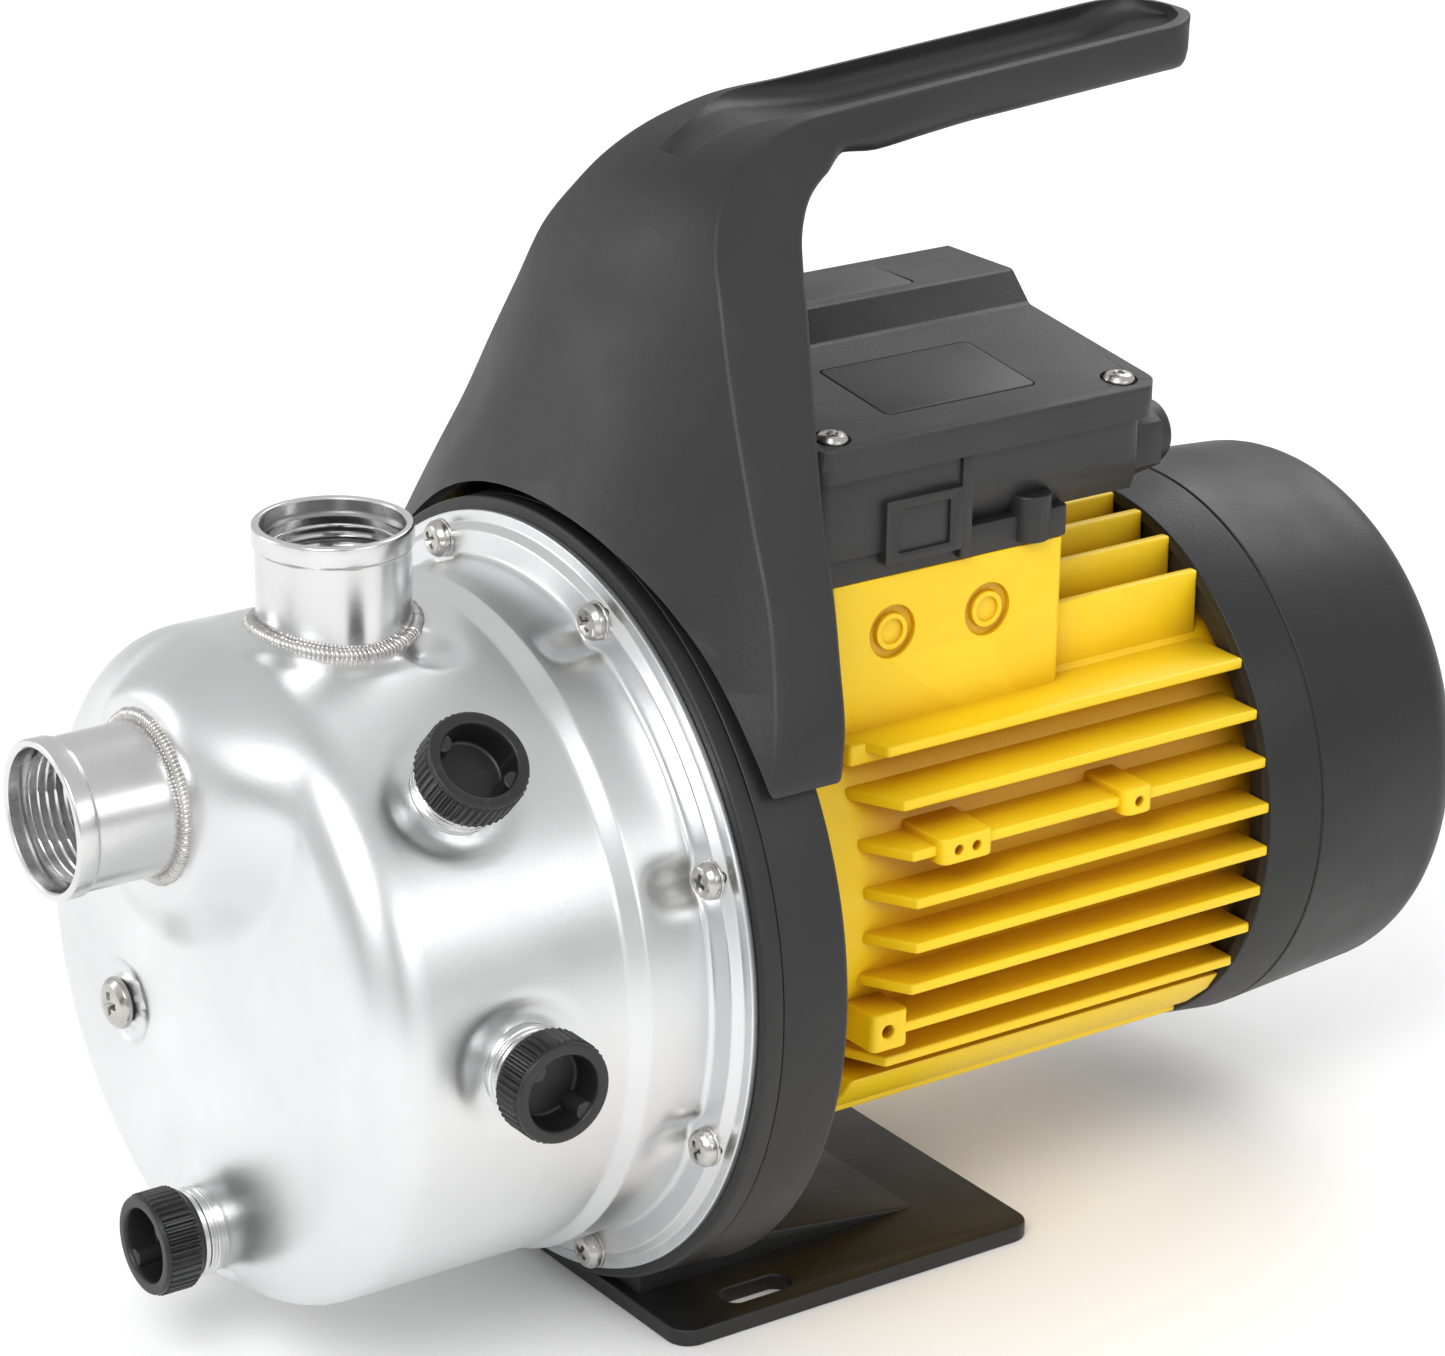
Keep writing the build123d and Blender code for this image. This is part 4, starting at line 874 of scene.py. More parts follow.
def handle_mesh(props, inset, count, edge):
    """The handle, or its inside when drawn in, as one skin through its stations."""
    rings = []
    mesh = bmesh.new()
    for station in smooth_stations(handle_stations(props)[:count], 6):
        front, rear = Vector(station[0:2]), Vector(station[2:4])
        across = (rear - front).normalized()
        wide, rear_wide = max(station[4] - inset, 0.2), max(station[5] - inset, 0.2)
        front += across * inset
        rear -= across * inset
        depth = (rear - front).length
        corners = []
        spans = 14
        for n in range(spans + 1):
            x = wide * (2 * n / spans - 1)
            lead = -(wide ** 2 - x ** 2) * props.crown
            if n in (0, spans):
                corners.append((x, lead, edge))
            else:
                corners.append((x, lead))
        belly = min(props.belly, rear_wide * 0.7) * ease(station[0], 45.0, 75.0)
        corners.append((rear_wide, depth, max(edge, belly)))
        corners.append((-rear_wide, depth, max(edge, belly)))
        ring = []
        for u, v in rounded(corners, 5):
            place = front + across * v
            ring.append(mesh.verts.new((u, place.x, place.y)))
        rings.append(ring)
    bridge(mesh, rings, closed=False)
    mesh.faces.new(rings[0])
    mesh.faces.new(rings[-1])
    return mesh


def channel_mesh(props):
    """The open channel in the grip's top: a rounded trough that fades towards the leg."""
    mesh = bmesh.new()
    rings = []
    spans = 44
    for n in range(spans + 1):
        last = props.grip_end - 3.0
        y = 38.0 + (last - 38.0) * n / spans
        inside = props.grip_half - 2.6
        tail = min(max((y - (last - inside)) / inside, 0.0), 0.995)
        wide = inside * math.sqrt(1.0 - tail ** 2) * (0.5 + 0.5 * ease(y, 38.0, 66.0))
        top = props.grip_top + (y - 62) * props.slope - max(0.0, 62.0 - y) ** 2 * 0.0165
        sink = (props.channel + 0.8) * ease(y, 36.0, 96.0) * (1.0 - 0.55 * ease(y, last - 20.0, last)) - 0.8
        bend = min(5.0, wide * 0.8)
        trough = [(-wide, 14.0), (-wide, -sink, bend), (wide, -sink, bend), (wide, 14.0)]
        rings.append([mesh.verts.new((u, y, top + v)) for u, v in rounded(trough, 6)])
    bridge(mesh, rings, closed=False)
    mesh.faces.new(rings[0])
    mesh.faces.new(rings[-1])
    return mesh


def build_handle(props):
    handle = solid(handle_mesh(props, 0.0, None, props.edge))
    combine(handle, handle_mesh(props, props.wall, 9, 1.0))
    combine(handle, moved(rod(props.arch, -80, 90, 256), ALONG_REAR))
    combine(handle, channel_mesh(props))
    piece(handle, "carrying_handle", "handle_plastic", replaces=["handle"], sharp=30.0)


# ---- motor ----
def fin_bar(long, thick, slant):
    """A fin along Z: its root at x 0, its tip at x 1, with a slanted front end and rounded tip edges."""
    outline = [(0.0, 0.0), (3.0, 0.0), (14.0, slant), (14.0, long), (0.0, long)]
    fin = prism(outline, -thick / 2, thick / 2)
    fin.transform(Matrix(((1, 0, 0, 0), (0, 0, 1, 0), (0, 1, 0, 0), (0, 0, 0, 1))))
    fin = soften(solid(fin), 0.6, 3, 50)
    fin.data.transform(Matrix.Diagonal((1 / 14.0, 1, 1, 1)))
    return lifted(fin)


def lifted(thing):
    """An object's mesh as a drawn mesh again; the object goes."""
    mesh = bmesh.new()
    mesh.from_mesh(thing.data)
    data = thing.data
    bpy.data.objects.remove(thing)
    bpy.data.meshes.remove(data)
    return mesh


def fin_row(props, offsets, start, angle):
    """Fins side by side at the offsets, all reaching out in one direction."""
    places = []
    for offset in offsets:
        inner = math.sqrt((props.barrel - 2.5) ** 2 - offset ** 2)
        outer = math.sqrt(props.fin_radius ** 2 - offset ** 2)
        places.append(((inner, offset, start), (0, 0, 1), (outer - inner, 1.0, 1.0)))
    row = copies(fin_bar(174.0 - start, props.fin_thick, props.slant), places, "motor_paint")
    row.data.transform(ALONG_REAR @ Matrix.Rotation(math.radians(angle), 4, "Z"))
    return row


def motor_fins(props):
    middle = (props.fins - 1) / 2
    levels = [props.fin_middle + (n - middle) * props.pitch for n in range(props.fins)]
    upright = [side * (4.5 + 11.3 * n) for n in range(4) for side in (-1, 1)]
    rows = [fin_row(props, [-level for level in levels], 56.0, 0.0)]
    rows.append(fin_row(props, levels, 56.0, 180.0))
    rows.append(fin_row(props, upright, 56.0, 90.0))
    rows.append(fin_row(props, upright, 121.0, 270.0))
    return rows


def build_motor(props):
    barrel, end = props.barrel, 174.0
    line = [(56.0, 23.25), (66.0, 23.25, 0.8), (66.0, 31.2, 1.4), (barrel, 31.2, 2.0), (barrel, 52.0),
            (barrel, end), (barrel, end + 5.9, 0.5), (56.0, end + 5.9)]
    core = turned(rounded(line, 5), 192)
    core.transform(ALONG_REAR)
    core = solid(core)
    fins = motor_fins(props)
    pad = solid(slab(-46, 46, props.pad_start, props.pad_end, 21.0, 82.0, 2.5))
    for y in (72.8, 101.7):
        for side in (-1, 1):
            place = Matrix.Translation((side * 46.0, y, 67.4)) @ Matrix.Rotation(math.radians(90 * side), 4, "Y")
            ring = turned(rounded([(4.6, -2.0, 0.5), (6.8, -2.0, 0.5), (6.8, 3.0), (4.6, 3.0)], 3), 64)
            combine(pad, moved(ring, place))
            combine(pad, moved(rod(3.2, -1.2, 3.0, 48), place))
    soften(pad, 0.7, 3, 40)
    ledges = []
    for side in (-1, 1):
        ledge = solid(slab(*sorted((side * 46.0, side * 53.0)), props.pad_start + 2, 121.0, 38.0, 43.5, 1.2))
        ledges.append(soften(ledge, 0.8, 3, 40))
        low = [(side * 44.6, -57.0), (side * 52.6, -50.0), (side * 56.8, -44.0), (side * 40.0, -44.0),
               (side * 40.0, -57.0)]
        block = prism(low, 56.0, end)
        block.transform(Matrix(((1, 0, 0, 0), (0, 0, 1, 0), (0, 1, 0, 0), (0, 0, 0, 1))))
        ledges.append(soften(solid(block), 0.9, 3, 30))
    level = props.fin_middle + 1.5 * props.pitch
    for centre, half, holes in ((77.7, 8.0, (75.0, 80.4)), (131.0, 4.6, (131.0,))):
        reach = props.fin_radius - 0.1
        boss = solid(slab(52.0, reach, centre - half, centre + half, level - 3.4, level + 3.4, 2.6))
        for y in holes:
            hole = moved(rod(1.25, -9, 9, 24), Matrix.Translation((props.fin_radius, y, level))
                         @ Matrix.Rotation(math.radians(90), 4, "Y"))
            combine(boss, hole)
        ledges.append(soften(boss, 0.7, 3, 50))
    boss = solid(slab(50.0, props.fin_radius - 5.0, 54.0, 65.0, -32.0, -22.0, 2.0))
    hole = moved(rod(1.7, -9, 9, 24), Matrix.Translation((props.fin_radius - 5.0, 58.8, -27))
                 @ Matrix.Rotation(math.radians(90), 4, "Y"))
    combine(boss, hole)
    ledges.append(soften(boss, 0.7, 3, 50))
    for angle in (40, 140, 220, 320):
        x, z = polar(80.0, angle)
        lug = [(Vector((x, z)) + Vector(polar(8.0, angle + turn))) for turn in range(-90, 91, 15)]
        lug += [Vector(polar(56.5, angle + 8.2)), Vector(polar(56.5, angle - 8.2))]
        mesh = prism([(p.x, -p.y) for p in lug], 23.25, 32.2)
        mesh.transform(ALONG_REAR)
        lug = soften(solid(mesh), 0.8, 3, 50)
        combine(lug, moved(rod(2.8, -20, 60, 32), facing_rear(x, 0, z)))
        ledges.append(lug)
    whole = absorbed(core, [*fins, pad, *ledges])
    piece(whole, "finned_motor_housing", "motor_paint", replaces=["motor_housing"], sharp=32.0)


# ---- fan cover ----
def build_cover(props):
    front, step, rear = props.front_radius, props.step_radius, props.rear_radius
    end, wall, grille = props.end, props.wall, props.grille
    line = [
        (front - wall, 173.4), (front, 174.0, 0.6), (step, 189.1, 0.5), (step - 0.55, 189.3), (step - 0.55, 190.1),
        (step - 0.1, 190.4, 0.5), (rear, end, props.rounding), (grille, end, 0.8), (grille, end - wall, 0.4),
        (rear - wall, end - wall, props.rounding - wall), (step - wall, 190.0),
    ]
    shell = turned(rounded(line, 12), 256)
    shell.transform(ALONG_REAR)
    shell = solid(shell)
    bar = solid(slab(-1.0, 1.0, -props.bar / 2, props.bar / 2, -wall, 0.0, 0.0))
    soften(bar, 0.3, 2, 50)
    mesh = lifted(bar)
    places = []
    for n in range(-6, 6):
        level = (n + 0.5) * props.bar_pitch
        half = math.sqrt((grille + 1.0) ** 2 - level ** 2)
        places.append(((0.0, level, end), (0, 0, 1), (half, 1.0, 1.0)))
    bars = copies(mesh, places, "cover_plastic")
    bars.data.transform(ALONG_REAR)
    spine = solid(slab(-2.0, 2.0, end - wall - 0.4, end - 0.3, -grille - 0.8, grille + 0.8))
    lip = turned(rounded([(64.5, 174.5), (front - 1.2, 174.5), (front - 1.2, 177.0), (64.5, 177.0)], 2), 128)
    lip.transform(ALONG_REAR)
    whole_cover = absorbed(shell, [bars, spine, solid(lip)])
    piece(whole_cover, "fan_cowl", "cover_plastic", replaces=["fan_cover"], sharp=32.0)


# ---- terminal box ----
def wedge(points, y0, y1):
    """A shape given in the XZ plane, from y0 to y1."""
    mesh = prism([(x, -z) for x, z in points], y0, y1)
    mesh.transform(ALONG_REAR)
    return mesh


def build_box(props):
    base = solid(slab(-47, 47, 48.5, 148.5, 89.0, 111.7, 5.0))
    combine(base, slab(-44.4, 44.4, 51.1, 145.9, 101.5, 116.0, 3.0))
    combine(base, slab(-39.0, 39.0, 51.1, 143.5, 91.5, 103.0, 3.0))
    for side in (-1, 1):
        chamfer = [(side * 41.5, 88.0), (side * 60.0, 88.0), (side * 60.0, 100.5), (side * 47.2, 100.5)]
        combine(base, wedge(chamfer, 95.0, 160.0))
    combine(base, slab(-18, -2, 74, 104, 80, 96.5))
    combine(base, moved(rod(7.1, -10, 10, 64), facing_rear(28.0, 148.5, 97.0)))
    soften(base, 0.6, 3, 40)
    plinth = solid(slab(-46, 46, 50.8, 126.2, 82.05, 90.0, 2.0))
    combine(plinth, slab(-18, -2, 74, 104, 77, 96.5))
    extras = [soften(plinth, 0.5, 2, 50)]
    for side in (-1, 1):
        extras.append(soften(solid(slab(*sorted((side * 41.0, side * 48.1)), 68.0, 91.0, 86.0, 102.0)), 0.5, 2, 50))
        rim = solid(slab(*sorted((side * 47.6, side * 48.9)), 68.0, 91.0, 86.0, 102.0))
        combine(rim, slab(*sorted((side * 47.0, side * 50.0)), 72.0, 87.0, 88.5, 99.5))
        extras.append(soften(rim, 0.3, 2, 50))
        pillar = turned(rounded([(0.0, 83.0), (5.5, 83.0, 0.6), (5.5, 95.0, 0.6), (0.0, 95.0)], 3), 48)
        extras.append(solid(moved(pillar, Matrix.Translation((side * 44.0, 115.0, 0.0)))))
        rib = slab(*sorted((side * 40.0, side * 48.0)), 91.2, 94.6, 83.0, 109.0)
        extras.append(soften(solid(rib), 0.5, 2, 50))
    absorbed(base, extras)
    piece(base, "terminal_box_base", "box_plastic", replaces=["box_base"])
    profile = [
        (-50.0, 113.05), (50.0, 113.05), (50.0, 118.2, 2.4), (-3.0, 124.6, 3.0), (-10.5, 132.0, 2.0),
        (-37.7, 131.4, 2.0), (-44.7, 124.2, 1.5), (-50.0, 118.2, 2.4),
    ]
    lid = solid(wedge(rounded(profile, 5), 46.5, 150.5))
    combine(lid, slab(-50.2, 50.2, 46.45, 150.55, 100.0, 140.0, 6.0, 10), "INTERSECT")
    skirt = slab(-50.0, 50.0, 46.5, 150.5, props.skirt, 113.2, 6.0, 10)
    skirt = solid(skirt)
    combine(skirt, slab(-47.15, 47.15, 48.35, 148.65, 100.0, 113.04, 5.0, 10))
    combine(lid, lifted(skirt), "UNION")
    hollow = [(-38, 112), (38, 112), (38, 116.6), (-3, 121.6), (-13, 129.2), (-35.5, 128.6), (-38, 121.5)]
    combine(lid, wedge(hollow, 49.4, 147.6))
    slope = math.atan2(124.6 - 118.2, 53.0)
    near = Matrix.Translation((24.0, 98.0, 121.4)) @ Matrix.Rotation(slope, 4, "Y")
    far = Matrix.Translation((-24.1, 98.0, 131.7))
    for place, long, wide in ((near, 46.0, 29.0), (far, 50.0, 20.0)):
        seat = slab(-wide / 2, wide / 2, -long / 2, long / 2, -0.7, 5.0, 2.0)
        combine(lid, moved(seat, place))
    for side in (-1, 1):
        for y in (55.0, 142.0):
            place = Matrix.Translation((side * 43.5, y, 117.8))
            combine(lid, moved(rod(4.7, 0.0, 12.0, 48), place))
            combine(lid, moved(rod(1.7, -12.0, 2.0, 24), place))
    soften(lid, 0.7, 3, 38)
    piece(lid, "terminal_box_lid", "box_plastic", replaces=["box_lid"])
    plates = []
    for place, long, wide in ((near, 45.2, 28.2), (far, 49.2, 19.2)):
        plate = solid(slab(-wide / 2, wide / 2, -long / 2, long / 2, -0.68, 0.1, 1.7))
        soften(plate, 0.25, 2, 50)
        plate.data.transform(place)
        plates.append(plate)
    piece(absorbed(plates[0], plates[1:]), "blank_label_panels", "label_plastic", replaces=["label_plates"])


def build_gland(props):
    place = facing_rear(28.0, 148.55, 97.0)
    six = [(props.across / math.cos(math.pi / 6) * math.cos(math.pi * n / 3 + math.pi / 6),
            props.across / math.cos(math.pi / 6) * math.sin(math.pi * n / 3 + math.pi / 6), 1.0) for n in range(6)]
    body = solid(prism(rounded(six, 3), 0.0, 4.4))
    combine(body, rod(4.2, -1, 9, 48))
    soften(body, 0.4, 2, 50)
    tail = solid(turned(rounded([(4.2, -8.0, 0.4), (7.0, -8.0, 0.4), (7.0, 9.5, 0.5), (4.2, 9.5, 0.4)], 3), 64))
    whole = absorbed(body, [tail])
    whole.data.transform(place)
    piece(whole, "cable_gland_body", "box_plastic", replaces=["cable_gland"])
    nut = solid(prism(rounded(six, 3), 4.7, 13.6))
    soften(nut, 0.5, 2, 50)
    combine(nut, rod(7.15, 4.0, 12.7, 64))
    combine(nut, rod(4.2, 4.0, 30.0, 48))
    dome = [(4.2, 13.0), (8.3, 13.0), (8.3, 18.6, 3.0), (4.2, 18.6, 0.5)]
    whole = absorbed(nut, [solid(turned(rounded(dome, 5), 64))])
    whole.data.transform(place)
    piece(whole, "cable_gland_nut", "box_plastic", replaces=["gland_nut"])


# ---- what is left from the CAD ----
def finish_inside():
    """Every CAD node that no drawn piece stands for takes its slot's finish."""
    for entry in frame["record"]["subparts"]:
        node = frame["nodes"][entry["node"]]
        node.data.materials.clear()
        node.data.materials.append(finishes()[entry["material_slot"]])


# ---- stage ----
def lamp(name, place, aim, size, power, colour=(1, 1, 1)):
    data = bpy.data.lights.new(name, "AREA")
    data.shape = "RECTANGLE"
    data.size, data.size_y = size
    data.energy = power
    data.color = colour
    thing = bpy.data.objects.new(name, data)
    bpy.context.scene.collection.objects.link(thing)
    thing.location = place
    thing.rotation_euler = (Vector(aim) - Vector(place)).to_track_quat("-Z", "Y").to_euler()
    return thing


def card(name, place, aim, size, grey):
    """A card that only reflections see."""
    mesh = bmesh.new()
    bmesh.ops.create_grid(mesh, x_segments=1, y_segments=1, size=0.5)
    data = bpy.data.meshes.new(name)
    mesh.to_mesh(data)
    mesh.free()
    thing = bpy.data.objects.new(name, data)
    bpy.context.scene.collection.objects.link(thing)
    thing.scale = (size[0], size[1], 1)
    thing.location = place
    thing.rotation_euler = (Vector(aim) - Vector(place)).to_track_quat("-Z", "Y").to_euler()
    material = bpy.data.materials.new(name)
    material.use_nodes = True
    shader = material.node_tree.nodes["Principled BSDF"]
    shader.inputs["Base Color"].default_value = (grey, grey, grey, 1)
    shader.inputs["Roughness"].default_value = 0.9
    data.materials.append(material)
    thing.visible_camera = False
    thing.visible_diffuse = False
    thing.visible_shadow = False
    return thing


def build_stage(props):
    scene = bpy.context.scene
    mesh = bmesh.new()
    bmesh.ops.create_grid(mesh, x_segments=1, y_segments=1, size=6.0)
    data = bpy.data.meshes.new("floor")
    mesh.to_mesh(data)
    mesh.free()
    floor = bpy.data.objects.new("floor", data)
    scene.collection.objects.link(floor)
    floor.location.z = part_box("adapter_bracket")[0].z
    material = bpy.data.materials.new("floor_paper")
    material.use_nodes = True
    shader = material.node_tree.nodes["Principled BSDF"]
    shader.inputs["Base Color"].default_value = (0.97, 0.97, 0.97, 1)
    shader.inputs["Roughness"].default_value = 0.85
    data.materials.append(material)
    world = bpy.data.worlds.new("studio")
    world.use_nodes = True
    back = world.node_tree.nodes["Background"]
    back.inputs["Color"].default_value = (1.0, 1.0, 1.0, 1)
    back.inputs["Strength"].default_value = props.world
    scene.world = world
    scene.view_settings.view_transform = "Standard"
    middle = (0.0, 0.02, 0.13)
    lamp("key", (0.9, -1.2, 1.5), middle, (0.9, 0.9), props.key)
    lamp("side", (1.7, 0.5, 0.9), middle, (1.2, 0.7), props.side)
    lamp("left", (-1.3, -1.4, 0.8), middle, (0.8, 1.2), props.left)
    lamp("back", (-0.6, 1.5, 1.5), middle, (1.2, 0.8), props.back)
    card("dark_right", (1.6, -0.55, 0.45), middle, (0.2, 1.1), 0.02)
    card("dark_front", (0.5, -1.7, 0.3), middle, (0.22, 1.1), 0.02)
    card("dark_side", (1.3, 0.9, 0.25), middle, (0.5, 0.7), 0.02)
    card("dark_top", (0.2, -0.5, 1.6), middle, (0.16, 1.1), 0.03)
    camera = bpy.data.cameras.new("camera")
    camera.lens = props.lens
    camera.sensor_width = 36.0
    camera.clip_start = 0.01
    view = bpy.data.objects.new("camera", camera)
    scene.collection.objects.link(view)
    right, up = Vector(props.right), Vector(props.up)
    back_way = right.cross(up)
    view.matrix_world = Matrix.Translation(props.eye) @ Matrix((right, up, back_way)).transposed().to_4x4()
    scene.camera = view


# ---- the add-on ----
def number(name, description, default):
    return FloatProperty(name=name, description=description, default=default, precision=4)


def whole(name, description, default):
    return IntProperty(name=name, description=description, default=default, min=0)


class HousingSizes(PropertyGroup):
    """Sizes of the pressed stainless housing, in millimetres"""

    radius: number("Radius", "Outer radius of the can", 82.4)
    depth: number("Depth", "From the flange plane to the front", 94.2)
    wall: number("Wall", "Sheet thickness", 1.8)
    front_round: number("Front rounding", "Outer rounding of the front edge", 14.0)
    flange: number("Flange radius", "Outer radius of the flange", 95.0)
    suction_height: number("Suction height", "Height of the suction port above the shaft", 49.0)
    discharge_y: number("Discharge place", "Place of the discharge port along the shaft", -55.7)
    boss: number("Boss height", "How far the suction port's seat stands out", 12.3)
    boss_seat: number("Boss seat radius", "Radius of the flat seat", 23.8)
    boss_foot: number("Boss foot radius", "Radius where the boss meets the front", 38.0)
    screw_x: number("Front screw X", "Sideways place of the front screw", -37.4)
    screw_z: number("Front screw Z", "Height of the front screw", -20.6)
    drain_height: number("Drain height", "Height of the drain plug", -66.0)
    screw_phase: number("Screw phase", "Angle of the first flange screw, in degrees", 22.5)
    screws: whole("Flange screws", "How many flange screws press the wall in", 8)
    segments: whole("Segments", "Steps round the shell", 288)


class PortSizes(PropertyGroup):
    """Sizes of the threaded ports, in millimetres"""

    radius: number("Radius", "Outer radius of the socket", 18.3)
    band: number("Band radius", "Outer radius of the turned band", 19.0)
    crest: number("Thread crest radius", "Radius at the thread's crests", 15.145)
    thread: number("Thread depth", "Depth of the thread's groove", 1.35)
    pitch: number("Thread pitch", "Rise of one turn", 2.309)
    counterbore: number("Counterbore radius", "Radius of the plain mouth", 16.9)
    segments: whole("Segments", "Steps round the socket", 112)


class WeldSizes(PropertyGroup):
    """Sizes of the weld beads, in millimetres"""

    bead: number("Bead radius", "Half width of the bead", 1.75)
    ripple: number("Ripple pitch", "Distance between ripples", 1.05)
    seed: whole("Seed", "Seed of the beads' unevenness", 7)


class PlugSizes(PropertyGroup):
    """Sizes of the screw plugs, in millimetres"""

    neck: number("Neck radius", "Outer radius of the threaded neck", 10.4)
    neck_bore: number("Neck bore", "Bore of the neck", 8.4)
    neck_height: number("Neck height", "Height above the skin", 5.2)
    gasket: number("Gasket", "Gasket thickness", 1.2)
    cap: number("Cap radius", "Outer radius over the ribs", 12.6)
    cap_height: number("Cap height", "Height of the cap", 10.2)
    recess: number("Recess radius", "Radius of the recess", 9.1)
    recess_depth: number("Recess depth", "Depth of the recess", 8.4)
    turn: number("Turn", "Direction of the two nubs, in degrees", 45.0)
    ribs: whole("Ribs", "Ribs round a cap", 44)


class ScrewSizes(PropertyGroup):
    """Sizes of the pan-head screws, in millimetres"""

    circle: number("Screw circle", "Radius of the flange screws' circle", 89.1)
    phase: number("Phase", "Angle of the first screw, in degrees", 22.5)
    head: number("Head radius", "Radius of a flange screw's head", 4.6)
    height: number("Head height", "Height of a flange screw's head", 3.4)
    count: whole("Flange screws", "How many", 8)
    seed: whole("Seed", "Seed of the heads' turns", 4)


class BracketSizes(PropertyGroup):
    """Sizes of the ring, bracket and foot, in millimetres"""

    radius: number("Front radius", "Ring radius at the front", 98.0)
    rear_radius: number("Rear radius", "Ring radius at the rear", 99.2)
    corner: number("Foot corner", "Rounding of the foot's corners", 6.0)
    slot_width: number("Slot width", "Width of a fixing slot", 8.0)
    slot_length: number("Slot length", "Length of a fixing slot", 20.0)
    ramp_end: number("Ramp end", "Where the pedestal's ramp ends", 90.0)


class HandleSizes(PropertyGroup):
    """Sizes of the handle, in millimetres"""

    grip_half: number("Grip half width", "Half width of the grip", 16.5)
    grip_height: number("Grip height", "Height of the grip", 12.6)
    slope: number("Grip slope", "Rise of the grip per length", 0.07)
    grip_top: number("Grip top", "Height of the grip's front end", 188.6)
    grip_end: number("Grip end", "Where the grip ends", 191.5)
    crown: number("Crown", "Curvature of the leg's front", 0.004)
    edge: number("Edge rounding", "Rounding of the leg's edges", 2.2)
    belly: number("Grip rounding", "Rounding under the grip", 9.0)
    wall: number("Wall", "Wall of the hollow leg", 3.5)
    arch: number("Arch radius", "Radius of the cut over the bracket", 101.4)
    channel: number("Channel depth", "Depth of the grip's open channel", 7.0)


class MotorSizes(PropertyGroup):
    """Sizes of the finned motor housing, in millimetres"""

    barrel: number("Barrel radius", "Radius between the fins", 60.0)
    fin_radius: number("Fin radius", "Radius over the fins", 72.5)
    fin_thick: number("Fin thickness", "Thickness of a fin", 2.8)
    pitch: number("Fin pitch", "Distance between side fins", 11.6)
    fin_middle: number("Fin middle", "Height of the fins' middle", 1.7)
    slant: number("Fin slant", "Length of a fin's slanted front", 7.0)
    pad_start: number("Pad start", "Front of the terminal pad", 53.7)
    pad_end: number("Pad end", "Rear of the terminal pad", 125.3)
    fins: whole("Side fins", "Fins on each side", 8)


class CoverSizes(PropertyGroup):
    """Sizes of the fan cover, in millimetres"""

    front_radius: number("Front radius", "Radius at the motor", 73.0)
    step_radius: number("Step radius", "Radius at the seam", 74.7)
    rear_radius: number("Rear radius", "Radius before the rounding", 71.0)
    end: number("End", "Rear plane", 242.7)
    rounding: number("Rounding", "Rounding of the rear edge", 20.0)
    wall: number("Wall", "Wall thickness", 2.5)
    grille: number("Grille radius", "Radius of the air inlet", 48.0)
    bar: number("Bar", "Width of a grille bar", 3.7)
    bar_pitch: number("Bar pitch", "Distance between grille bars", 7.5)


class BoxSizes(PropertyGroup):
    """Sizes of the terminal box, in millimetres"""

    across: number("Gland flats", "Half the width across the gland's flats", 9.5)
    skirt: number("Lid skirt", "Height of the lid's lower edge", 109.8)


class StageSizes(PropertyGroup):
    """Lights, floor and camera"""

    world: number("World strength", "Brightness of the surroundings", 0.72)
    key: number("Key", "Power of the key light", 20.0)
    side: number("Side", "Power of the side light", 5.0)
    left: number("Left", "Power of the left light", 7.0)
    back: number("Back", "Power of the back light", 14.0)
    lens: FloatProperty(name="Lens", description="Focal length", default=123.25, unit="CAMERA")
    eye: FloatVectorProperty(
        name="Camera place", description="Place of the camera, in metres", default=(0.93399, -0.63425, 0.58874),
        subtype="TRANSLATION", precision=5)
    right: FloatVectorProperty(
        name="Camera right", description="The camera's right", default=(0.57157, 0.82042, 0.01445),
        subtype="DIRECTION", precision=5)
    up: FloatVectorProperty(
        name="Camera up", description="The camera's up", default=(-0.30525, 0.19625, 0.93183),
        subtype="DIRECTION", precision=5)


class JETPUMP_OT_housing(Operator):
    """Build the pressed stainless housing"""

    bl_idname = "jetpump.housing"
    bl_label = "Pump housing"

    def execute(self, context):
        build_housing(context.scene.pump_housing_sizes)
        return {"FINISHED"}


class JETPUMP_OT_ports(Operator):
    """Build the two threaded ports"""

    bl_idname = "jetpump.ports"
    bl_label = "Ports"

    def execute(self, context):
        build_ports(context.scene.pump_port_sizes)
        return {"FINISHED"}


class JETPUMP_OT_welds(Operator):
    """Build the weld beads round the ports"""

    bl_idname = "jetpump.welds"
    bl_label = "Weld beads"

    def execute(self, context):
        build_welds(context.scene.pump_weld_sizes)
        return {"FINISHED"}


class JETPUMP_OT_plugs(Operator):
    """Build the threaded necks and their ribbed caps"""

    bl_idname = "jetpump.plugs"
    bl_label = "Screw plugs"

    def execute(self, context):
        build_plugs(context.scene.pump_plug_sizes)
        return {"FINISHED"}


class JETPUMP_OT_screws(Operator):
    """Build every visible pan-head screw and its washer"""

    bl_idname = "jetpump.screws"
    bl_label = "Screws"

    def execute(self, context):
        build_screws(context.scene.pump_screw_sizes)
        return {"FINISHED"}


class JETPUMP_OT_ring(Operator):
    """Build the ring behind the housing's flange"""

    bl_idname = "jetpump.ring"
    bl_label = "Flange ring"

    def execute(self, context):
        build_ring(context.scene.pump_bracket_sizes)
        return {"FINISHED"}


class JETPUMP_OT_bracket(Operator):
    """Build the bracket with its pedestal and foot"""

    bl_idname = "jetpump.bracket"
    bl_label = "Bracket and foot"

    def execute(self, context):
        build_bracket(context.scene.pump_bracket_sizes)
        return {"FINISHED"}


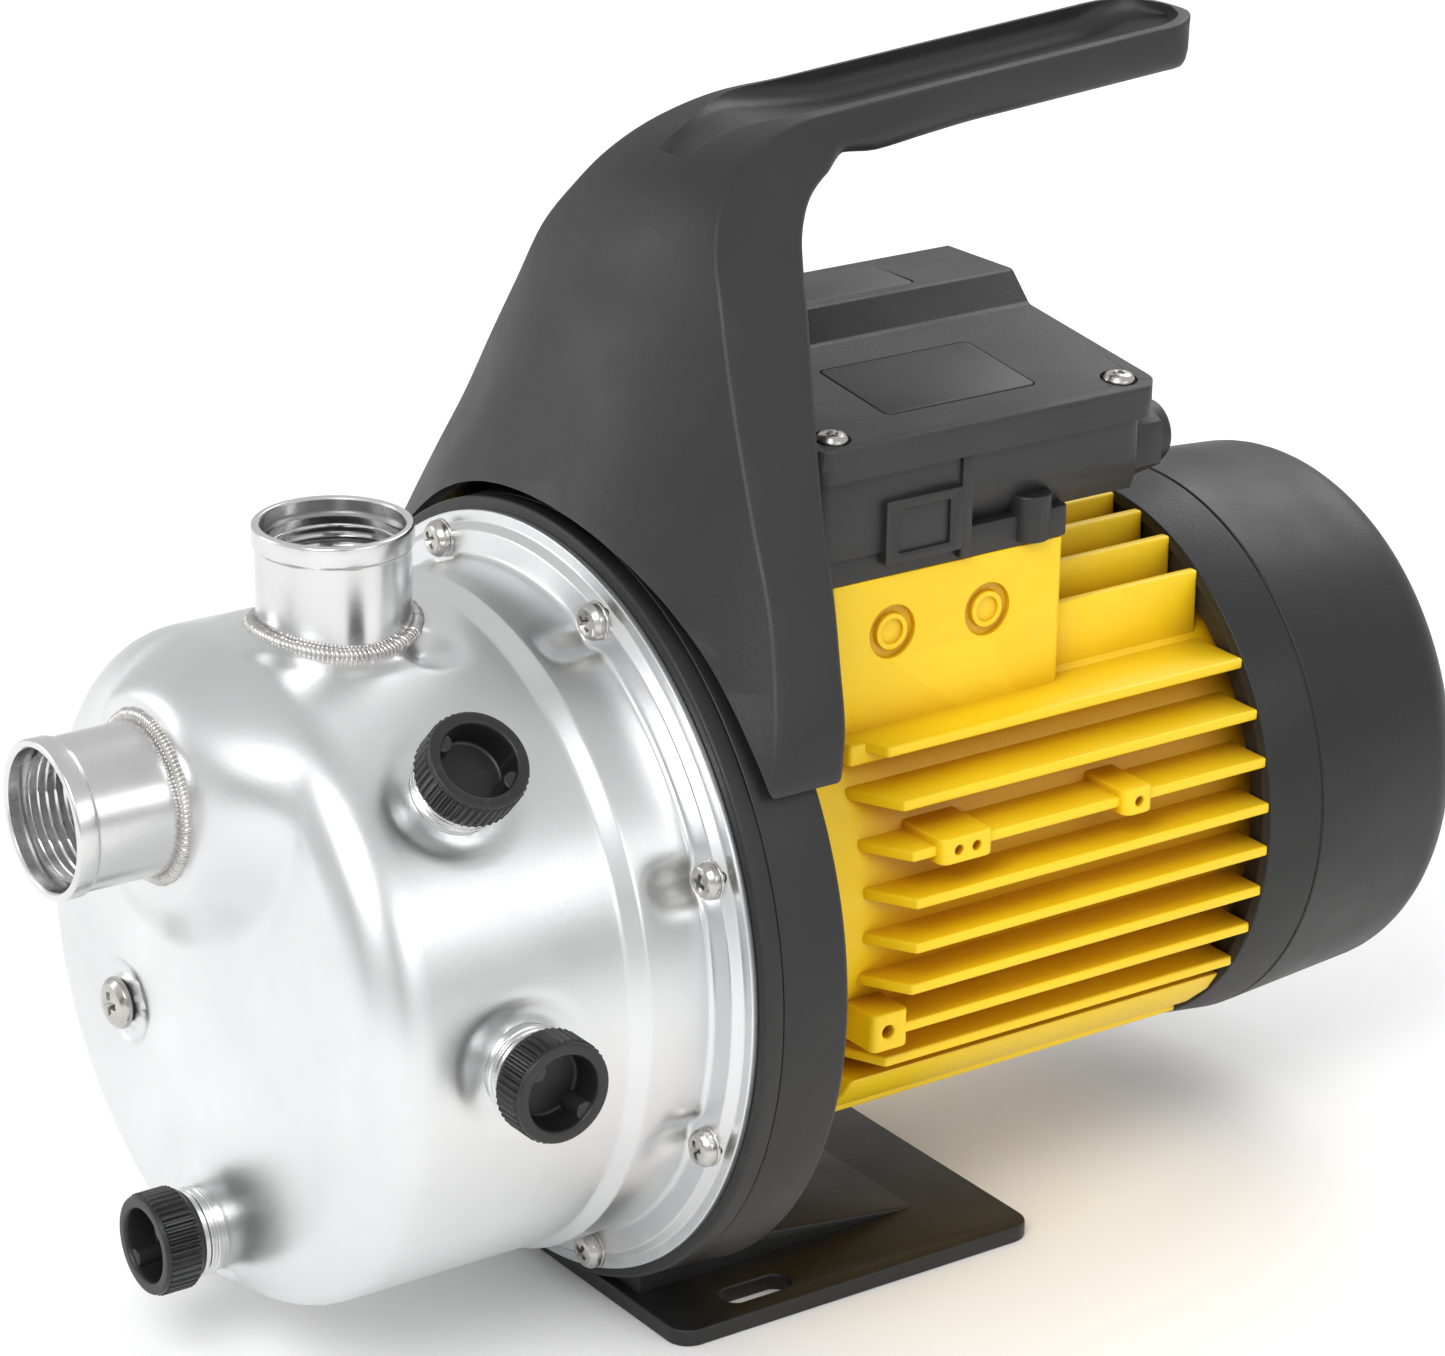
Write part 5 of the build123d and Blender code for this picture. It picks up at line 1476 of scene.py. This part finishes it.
class JETPUMP_OT_handle(Operator):
    """Build the leaning handle"""

    bl_idname = "jetpump.handle"
    bl_label = "Handle"

    def execute(self, context):
        build_handle(context.scene.pump_handle_sizes)
        return {"FINISHED"}


class JETPUMP_OT_motor(Operator):
    """Build the finned motor housing"""

    bl_idname = "jetpump.motor"
    bl_label = "Motor housing"

    def execute(self, context):
        build_motor(context.scene.pump_motor_sizes)
        return {"FINISHED"}


class JETPUMP_OT_cover(Operator):
    """Build the fan cover with its grille"""

    bl_idname = "jetpump.cover"
    bl_label = "Fan cover"

    def execute(self, context):
        build_cover(context.scene.pump_cover_sizes)
        return {"FINISHED"}


class JETPUMP_OT_box(Operator):
    """Build the terminal box, its lid and its label panels"""

    bl_idname = "jetpump.box"
    bl_label = "Terminal box"

    def execute(self, context):
        build_box(context.scene.pump_box_sizes)
        return {"FINISHED"}


class JETPUMP_OT_gland(Operator):
    """Build the cable gland"""

    bl_idname = "jetpump.gland"
    bl_label = "Cable gland"

    def execute(self, context):
        build_gland(context.scene.pump_box_sizes)
        return {"FINISHED"}


class JETPUMP_OT_inside(Operator):
    """Finish the pieces kept from the CAD"""

    bl_idname = "jetpump.inside"
    bl_label = "Inside"

    def execute(self, context):
        finish_inside()
        return {"FINISHED"}


class JETPUMP_OT_stage(Operator):
    """Build the floor, lights and camera"""

    bl_idname = "jetpump.stage"
    bl_label = "Stage"

    def execute(self, context):
        build_stage(context.scene.pump_stage_sizes)
        return {"FINISHED"}


OPERATORS = (
    JETPUMP_OT_housing,
    JETPUMP_OT_ports,
    JETPUMP_OT_welds,
    JETPUMP_OT_plugs,
    JETPUMP_OT_screws,
    JETPUMP_OT_ring,
    JETPUMP_OT_bracket,
    JETPUMP_OT_handle,
    JETPUMP_OT_motor,
    JETPUMP_OT_cover,
    JETPUMP_OT_box,
    JETPUMP_OT_gland,
    JETPUMP_OT_inside,
    JETPUMP_OT_stage,
)
SIZES = {
    "pump_housing_sizes": HousingSizes,
    "pump_port_sizes": PortSizes,
    "pump_weld_sizes": WeldSizes,
    "pump_plug_sizes": PlugSizes,
    "pump_screw_sizes": ScrewSizes,
    "pump_bracket_sizes": BracketSizes,
    "pump_handle_sizes": HandleSizes,
    "pump_motor_sizes": MotorSizes,
    "pump_cover_sizes": CoverSizes,
    "pump_box_sizes": BoxSizes,
    "pump_stage_sizes": StageSizes,
}


class JETPUMP_PT_panel(Panel):
    """The pump's pieces, in building order"""

    bl_idname = "JETPUMP_PT_panel"
    bl_label = "Jet Pump"
    bl_space_type = "VIEW_3D"
    bl_region_type = "UI"
    bl_category = "Jet Pump"

    def draw(self, context):
        for operator in OPERATORS:
            self.layout.operator(operator.bl_idname)


def register():
    for kind in (*SIZES.values(), *OPERATORS, JETPUMP_PT_panel):
        bpy.utils.register_class(kind)
    for name, kind in SIZES.items():
        setattr(bpy.types.Scene, name, PointerProperty(type=kind))


def unregister():
    for name in SIZES:
        delattr(bpy.types.Scene, name)
    for kind in reversed((*SIZES.values(), *OPERATORS, JETPUMP_PT_panel)):
        bpy.utils.unregister_class(kind)


def main():
    register()
    for operator in OPERATORS:
        family, name = operator.bl_idname.split(".")
        getattr(getattr(bpy.ops, family), name)()


if __name__ == "__main__":
    main()
